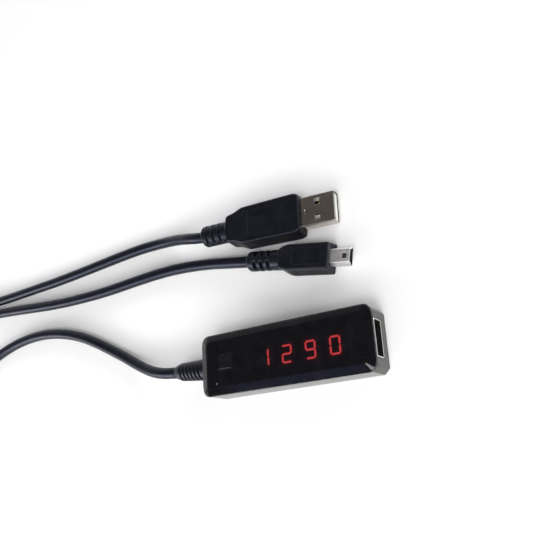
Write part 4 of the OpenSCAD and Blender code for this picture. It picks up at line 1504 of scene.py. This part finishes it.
@dataclass
class Display:
    """Four seven-bar digits and the faint light round their lit bars.

    Attributes:
        digits: bars that are lit on each digit.
        first_x: middle of the first digit.
        pitch: distance between digits.
        middle_y: middle of the digits.
        width: distance between the upright bars' middles.
        reach: distance from the middle bar to the top bar.
        stroke: width of a bar.
        gap: distance between the points of two bars.
        film: heights of the bars' lower and upper face.
        case: half length and half width of one display module.
        face: height of the halo's face over the bars' lower face, and its thickness.
        cells: points of that face along X and along Y.
        halo: light at the edge of a lit bar, as a share of the bar's own.
        halo_reach: distance over which that light falls to 1/e.
        halo_most: most light that the face may have.
    """

    digits: tuple[str, ...] = ("bc", "abdeg", "abcdfg", "abcdef")
    first_x: float = -8.2
    pitch: float = 9.7
    middle_y: float = -0.4
    width: float = 3.6
    reach: float = 3.0
    stroke: float = 0.68
    gap: float = 0.12
    film: tuple[float, float] = (10.78, 10.9)
    case: tuple[float, float] = (3.9, 6.2)
    face: tuple[float, float] = (0.02, 0.015)
    cells: tuple[int, int] = (150, 52)
    halo: float = 0.42
    halo_reach: float = 0.5
    halo_most: float = 0.5

    def bars(self) -> np.ndarray:
        """Both ends of each lit bar's middle line, bars by 2 by 2."""
        w, h = self.width / 2, self.reach
        ends = {"a": ((-w, h), (w, h)), "b": ((w, 0), (w, h)), "c": ((w, -h), (w, 0)),
                "d": ((-w, -h), (w, -h)), "e": ((-w, -h), (-w, 0)), "f": ((-w, 0), (-w, h)),
                "g": ((-w, 0), (w, 0))}
        found = [np.asarray(ends[bar]) + (self.first_x + number * self.pitch, self.middle_y)
                 for number, lit in enumerate(self.digits) for bar in lit]
        return np.stack(found)

    def build_bars(self) -> bpy.types.Object:
        """Builds the lit bars as six-cornered plates with pointed ends."""
        low, high = self.film
        skin = Skin()
        for start, end in self.bars():
            way = (end - start) / np.linalg.norm(end - start)
            side = np.array([-way[1], way[0]]) * self.stroke / 2
            start, end = start + way * self.gap / 2, end - way * self.gap / 2
            neck = way * self.stroke / 2
            plan = np.stack([start, start + neck - side, end - neck - side, end, end - neck + side,
                             start + neck + side])
            rings = [np.concatenate([plan, np.full((6, 1), z)], axis=1) for z in (low, high)]
            skin.tube(np.stack(rings))
        piece = skin.build("lit_digit_bars")
        self._shine(piece, 1.0)
        return mount_piece(piece, LIT, "segment_lit", "lit_segments")

    def build_face(self) -> bpy.types.Object:
        """Builds a thin face over the modules that carries the halo.

        Its light at a point is the sum over the lit bars of the halo's strength times e to the power of minus
        the distance to the bar over the halo's reach.
        """
        last_x = self.first_x + (len(self.digits) - 1) * self.pitch
        lift, thickness = self.face
        x = np.linspace(self.first_x - self.case[0], last_x + self.case[0], self.cells[0])
        y = np.linspace(-self.case[1], self.case[1], self.cells[1]) + self.middle_y
        grid = np.stack(np.meshgrid(x, y, indexing="ij"), axis=2)
        top = np.concatenate([grid, np.full(grid.shape[:2] + (1,), self.film[0] + lift)], axis=2)
        bottom = top - (0, 0, thickness)
        skin = Skin()
        skin.grid(top)
        skin.grid(bottom)
        for edge in ((0, slice(None)), (-1, slice(None)), (slice(None), 0), (slice(None), -1)):
            skin.grid(np.stack([top[edge], bottom[edge]]))
        piece = skin.build("display_face")
        points = np.empty(len(piece.data.vertices) * 3, np.float32)
        piece.data.vertices.foreach_get("co", points)
        plan = points.reshape(-1, 3)[:, None, :2] / MM
        bars = self.bars()[None]
        start, run = bars[:, :, 0], bars[:, :, 1] - bars[:, :, 0]
        share = np.clip(((plan - start) * run).sum(2) / (run**2).sum(2), 0, 1)
        away = np.linalg.norm(plan - start - share[..., None] * run, axis=2)
        away = np.clip(away - self.stroke / 2, 0, None)
        glow = (self.halo * np.exp(-away / self.halo_reach)).sum(1)
        self._shine(piece, np.clip(glow, 0, self.halo_most))
        return mount_piece(piece, HAZE, "module_plastic")

    def _shine(self, piece: bpy.types.Object, light: float | np.ndarray) -> None:
        """Writes the strength of the light on each point of a piece, or one strength on all of them."""
        layer = piece.data.attributes.new("light", "FLOAT", "POINT")
        values = np.broadcast_to(np.asarray(light, np.float32), (len(piece.data.vertices),))
        layer.data.foreach_set("value", np.ascontiguousarray(values))


@dataclass
class Housing:
    """Tray, cover, key, display, socket and boot of the meter.

    Attributes:
        socket_middle: height of the socket's middle.
        boot_root: X of the wall that the boot stands on.
        boot_level: height of the boot's axis.
        boot_lean: how far the boot leans towards +Y, in degrees.
        lens_at: place of the indicator's lens.
        lens_radius: its radius.
        lens_foot: height where its dome starts.
        lens_rise: height of its dome.
        lens_climb: angle at which its dome ends, in radians.
    """

    socket_middle: float = 7.5
    boot_root: float = -35.8
    boot_level: float = 6.0
    boot_lean: float = 3.2
    lens_at: tuple[float, float] = (-28.4, -7.4)
    lens_radius: float = 0.6
    lens_foot: float = 12.6
    lens_rise: float = 0.36
    lens_climb: float = 1.35

    def build_boot(self) -> None:
        """Builds the strain relief, with its neck through the tray's wall and its collar inside."""
        relief = Relief(
            "housing_relief",
            stations=[-2.6, -1.5, -1.4, 0.0, 0.05, 13.9, 15.3, 16.6, 17.0],
            radii=[3.5, 3.5, 2.8, 2.8, 4.4, 3.65, 3.2, 2.65, 2.5],
            slots=[3.6, 5.5, 7.4, 9.3, 11.2, 13.1], slot_width=0.7, slot_depth=0.95,
            web_angle=-45.0, web_width=24.0, lean=self.boot_lean)
        piece = relief.build(placing((self.boot_root, 0, self.boot_level)) @ BACKWARDS)
        mount_piece(piece, GRIP, "grip_pvc", "cord_boot")

    def build_lens(self) -> None:
        """Builds the small lens over the indicator, a low dome that stands a little proud of the cover."""
        climb = np.linspace(0, self.lens_climb, 6)[:, None]
        angle = np.linspace(0, 2 * math.pi, 24, endpoint=False)[None, :]
        radius = self.lens_radius * np.cos(climb)
        height = np.broadcast_to(self.lens_foot + self.lens_rise * np.sin(climb), (len(climb), angle.size))
        surface = np.stack([self.lens_at[0] + radius * np.cos(angle),
                            self.lens_at[1] + radius * np.sin(angle), height], axis=2)
        mount_piece(closed_tube("indicator_lens", surface), LENS, "led_epoxy")

    def build_socket(self) -> None:
        """Builds the socket's folded shell with the windows of its contact springs."""
        shell = SheetShell("socket_folded_shell", half_y=6.55, half_z=2.86, start=25.5, end=35.8,
                           windows=(28.1, 32.5, 1.6, 4.2), corner=0.7, sheet=0.32)
        piece = shell.build(placing((0, 0, self.socket_middle)))
        # Its inner faces take the dark metal that paints the shade inside the socket.
        mount_piece(piece, RIM, "bright_nickel", "usb_socket_shell", inner=PAINTED_SHADE_METAL)

    def build(self) -> None:
        """Builds every sub-part of the housing."""
        self.build_boot()
        self.build_lens()
        tray = softened_copy("base_tray", "moulded_tray", 0.32, least=1.5)
        mount_piece(tray, TRAY, "tray_plastic", "base_tray")
        Cover().build()
        cap = softened_copy("mode_key", "key_cap", 0.3)
        mount_piece(cap, KEYCAP, "key_plastic", "mode_key", body=KEY)
        display = Display()
        display.build_bars()
        display.build_face()
        self.build_socket()


# ---------------------------------------------------------------- plugs and splitter in place

@dataclass
class LargePlug:
    """The larger plug at the end of its leg.

    Attributes:
        root: where the shell leaves the grip.
        turns: its turns about X, Y and Z, in degrees.
        relief_root: where its relief starts, back along the plug.
    """

    root: tuple[float, float, float] = (9.0, 53.4, 4.02)
    turns: tuple[float, float, float] = (0.0, 4.0, -1.5)
    relief_root: float = -32.9

    def build(self) -> None:
        """Builds its grip, relief and shell."""
        place = placing(self.root, self.turns)
        grip = Moulding(
            "usb_a_moulded_grip",
            stations=[0, -0.5, -1.3, -2.6, -25.2, -26.8, -29.0, -32.0, -33.0],
            half_widths=[7.0, 7.6, 8.05, 8.3, 7.9, 7.2, 6.3, 5.8, 4.9],
            half_heights=[4.0, 4.0, 4.0, 4.0, 4.0, 4.0, 3.9, 3.75, 3.5],
            corner=0.95, mouth=(6.05, 2.3), panel=(-2.6, -22.5, 5.6), edge=0.7, draft=0.04)
        mount_piece(grip.build(place), GRIP, "grip_pvc", "usb_a_grip")
        relief = Relief("usb_a_relief", stations=[0.0, 11.2, 11.7], radii=[4.35, 4.35, 3.7],
                        slots=[2.9, 5.9, 8.9], slot_width=0.9, slot_depth=1.2, web_angle=0.0, web_width=16.0)
        behind = place @ Matrix.Translation((self.relief_root, 0, 0)) @ BACKWARDS
        mount_piece(relief.build(behind), GRIP, "grip_pvc")
        shell = SheetShell("usb_a_folded_shell", half_y=6.0, half_z=2.25, start=-3.8, end=14.0,
                           windows=(6.0, 8.2, 1.85, 4.35), corner=0.55, sheet=0.3, dimple=(2.1, 0.0))
        # Its inner faces take the dark metal that paints the shade inside the shell's mouth.
        mount_piece(shell.build(place), NICKEL, "bright_nickel", "usb_a_shell", inner=PAINTED_SHADE_METAL)


@dataclass
class MiniPlug:
    """The mini plug at the end of its leg.

    Attributes:
        root: where the shell leaves the grip.
        turns: its turns about X, Y and Z, in degrees.
        relief_root: where its relief starts, back along the plug.
    """

    root: tuple[float, float, float] = (19.6, 33.5, 4.0)
    turns: tuple[float, float, float] = (0.0, 0.0, -10.5)
    relief_root: float = -21.4

    def build(self) -> None:
        """Builds its grip, relief and shell."""
        place = placing(self.root, self.turns)
        grip = Moulding(
            "mini_b_moulded_grip",
            stations=[0, -16.8, -18.4, -19.8, -20.9, -21.5],
            half_widths=[5.4, 5.4, 5.15, 4.7, 4.0, 3.3],
            half_heights=[4.0, 4.0, 4.0, 3.95, 3.8, 3.6],
            corner=0.8, mouth=(3.5, 1.6), panel=(-2.0, -15.0, 3.6), ribs=12, draft=0.085)
        mount_piece(grip.build(place), GRIP, "grip_pvc", "mini_b_grip")
        relief = Relief("mini_b_relief", stations=[0.0, 14.2, 14.6], radii=[3.98, 3.98, 3.5],
                        slots=[4.6, 7.7, 10.8], slot_width=1.35, slot_depth=1.75, web_angle=90.0,
                        web_width=12.0)
        behind = place @ Matrix.Translation((self.relief_root, 0, 0)) @ BACKWARDS
        mount_piece(relief.build(behind), GRIP, "grip_pvc")
        # Its inner faces take the dark metal that paints the shade inside the shell's mouth.
        mount_piece(MiniShell().build(place), SATIN, "bright_nickel", "mini_b_shell", inner=PAINTED_SHADE_METAL)


@dataclass
class Splitter:
    """Moulded piece where one lead becomes two legs.

    Attributes:
        mouth: middle of the face that the legs leave from.
    """

    mouth: tuple[float, float, float] = (-189.0, 52.7, 3.3)

    def build(self) -> None:
        """Builds the splitter as one smooth moulding."""
        moulding = Moulding(
            "splitter_moulding",
            stations=[0, -8.0, -17.0, -20.0],
            half_widths=[5.7, 5.7, 3.5, 2.9],
            half_heights=[3.3, 3.3, 3.1, 2.8],
            corner=1.7, mouth=None, panel=(-2.2, -9.5, 3.4))
        mount_piece(moulding.build(placing(self.mouth)), GRIP, "grip_pvc", "cord_splitter")


@dataclass
class CoilTie:
    """Loop of strap that holds the coil.

    Attributes:
        low_x: outermost X.
        high_x: innermost X.
        high_z: height of its top.
        middle_y: middle of its width.
        half_y: half of its width.
        band: thickness of the strap.
        bend: reach of its rounded corners.
    """

    low_x: float = -261.2
    high_x: float = -249.4
    high_z: float = 9.95
    middle_y: float = 33.0
    half_y: float = 3.0
    band: float = 0.7
    bend: float = 2.2

    def build(self) -> None:
        """Builds the loop as a rounded band that is thickened inwards."""
        corners = [(self.low_x, 0), (self.low_x, self.high_z), (self.high_x, self.high_z), (self.high_x, 0)]
        outline = rounded_outline(corners, self.bend, steps=9)
        rows = self.middle_y + np.linspace(-self.half_y, self.half_y, 9)
        surface = np.stack([np.stack([outline[:, 0], np.full(len(outline), y), outline[:, 1]], axis=1)
                            for y in rows])
        piece = sheet_piece("strap_loop", surface, self.band)
        round_edges(piece, 0.15, limit=40, segments=2)
        mount_piece(piece, STRAP, "tie_strap", "coil_tie")


# ---------------------------------------------------------------- the whole meter

@dataclass(frozen=True)
class Run:
    """One free run of cord.

    Attributes:
        name: name of the piece.
        line: its centreline in millimetres, from its exit on.
        far_end: what is on its far end; not used.
        lay: how it lies; not used.
        nodes: CAD nodes that it stands for.
        pieces: separate pieces on it.
    """

    name: str
    line: np.ndarray
    far_end: str
    lay: str
    nodes: tuple[str, ...]
    pieces: tuple[str, ...]


def cord_runs() -> list[Run]:
    """The three runs: from the boot to the splitter, and from the splitter to each plug."""
    return [
        Run("main_lead", MainLead().line(), "fitting", "coiled", ("meter_cord", "cord_coil", "splitter_lead"),
            ("housing_relief", "strap_loop", "splitter_moulding")),
        Run("usb_a_cord", smooth_line(A_ROUTE[::-1]), "plug", "loose", ("usb_a_leg",),
            ("usb_a_moulded_grip", "usb_a_relief", "usb_a_folded_shell", "usb_a_tongue", "usb_a_contacts")),
        Run("mini_b_cord", smooth_line(MINI_ROUTE[::-1]), "plug", "loose", ("mini_b_leg",),
            ("mini_b_moulded_grip", "mini_b_relief", "mini_b_folded_shell", "mini_b_tongue",
             "mini_b_contacts")),
    ]


@dataclass
class PowerMeter:
    """The meter with its cords, plugs, splitter and coil.

    Attributes:
        maker: what sweeps its cords.
    """

    maker: CordMaker = field(default_factory=CordMaker)

    def build(self) -> None:
        laid = [(run, self.maker.build(run)) for run in cord_runs()]
        for part in (Housing(), LargePlug(), MiniPlug(), Splitter(), CoilTie()):
            part.build()
        dress_frame()
        for run, cord in laid:
            self.maker.declare(run, cord)


def plain(value: object) -> object:
    """A box as plain lists of numbers, which can be written to a file."""
    if isinstance(value, dict):
        return {key: plain(part) for key, part in value.items()}
    if hasattr(value, "__len__"):
        return [plain(part) for part in value]
    return float(value)


def main() -> None:
    """Builds the scene."""
    before = plain(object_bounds())
    studio = Studio()
    studio.build_camera()
    PowerMeter().build()
    studio.build()
    {"before": before, "after": plain(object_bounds())}


if __name__ == "__main__":
    main()
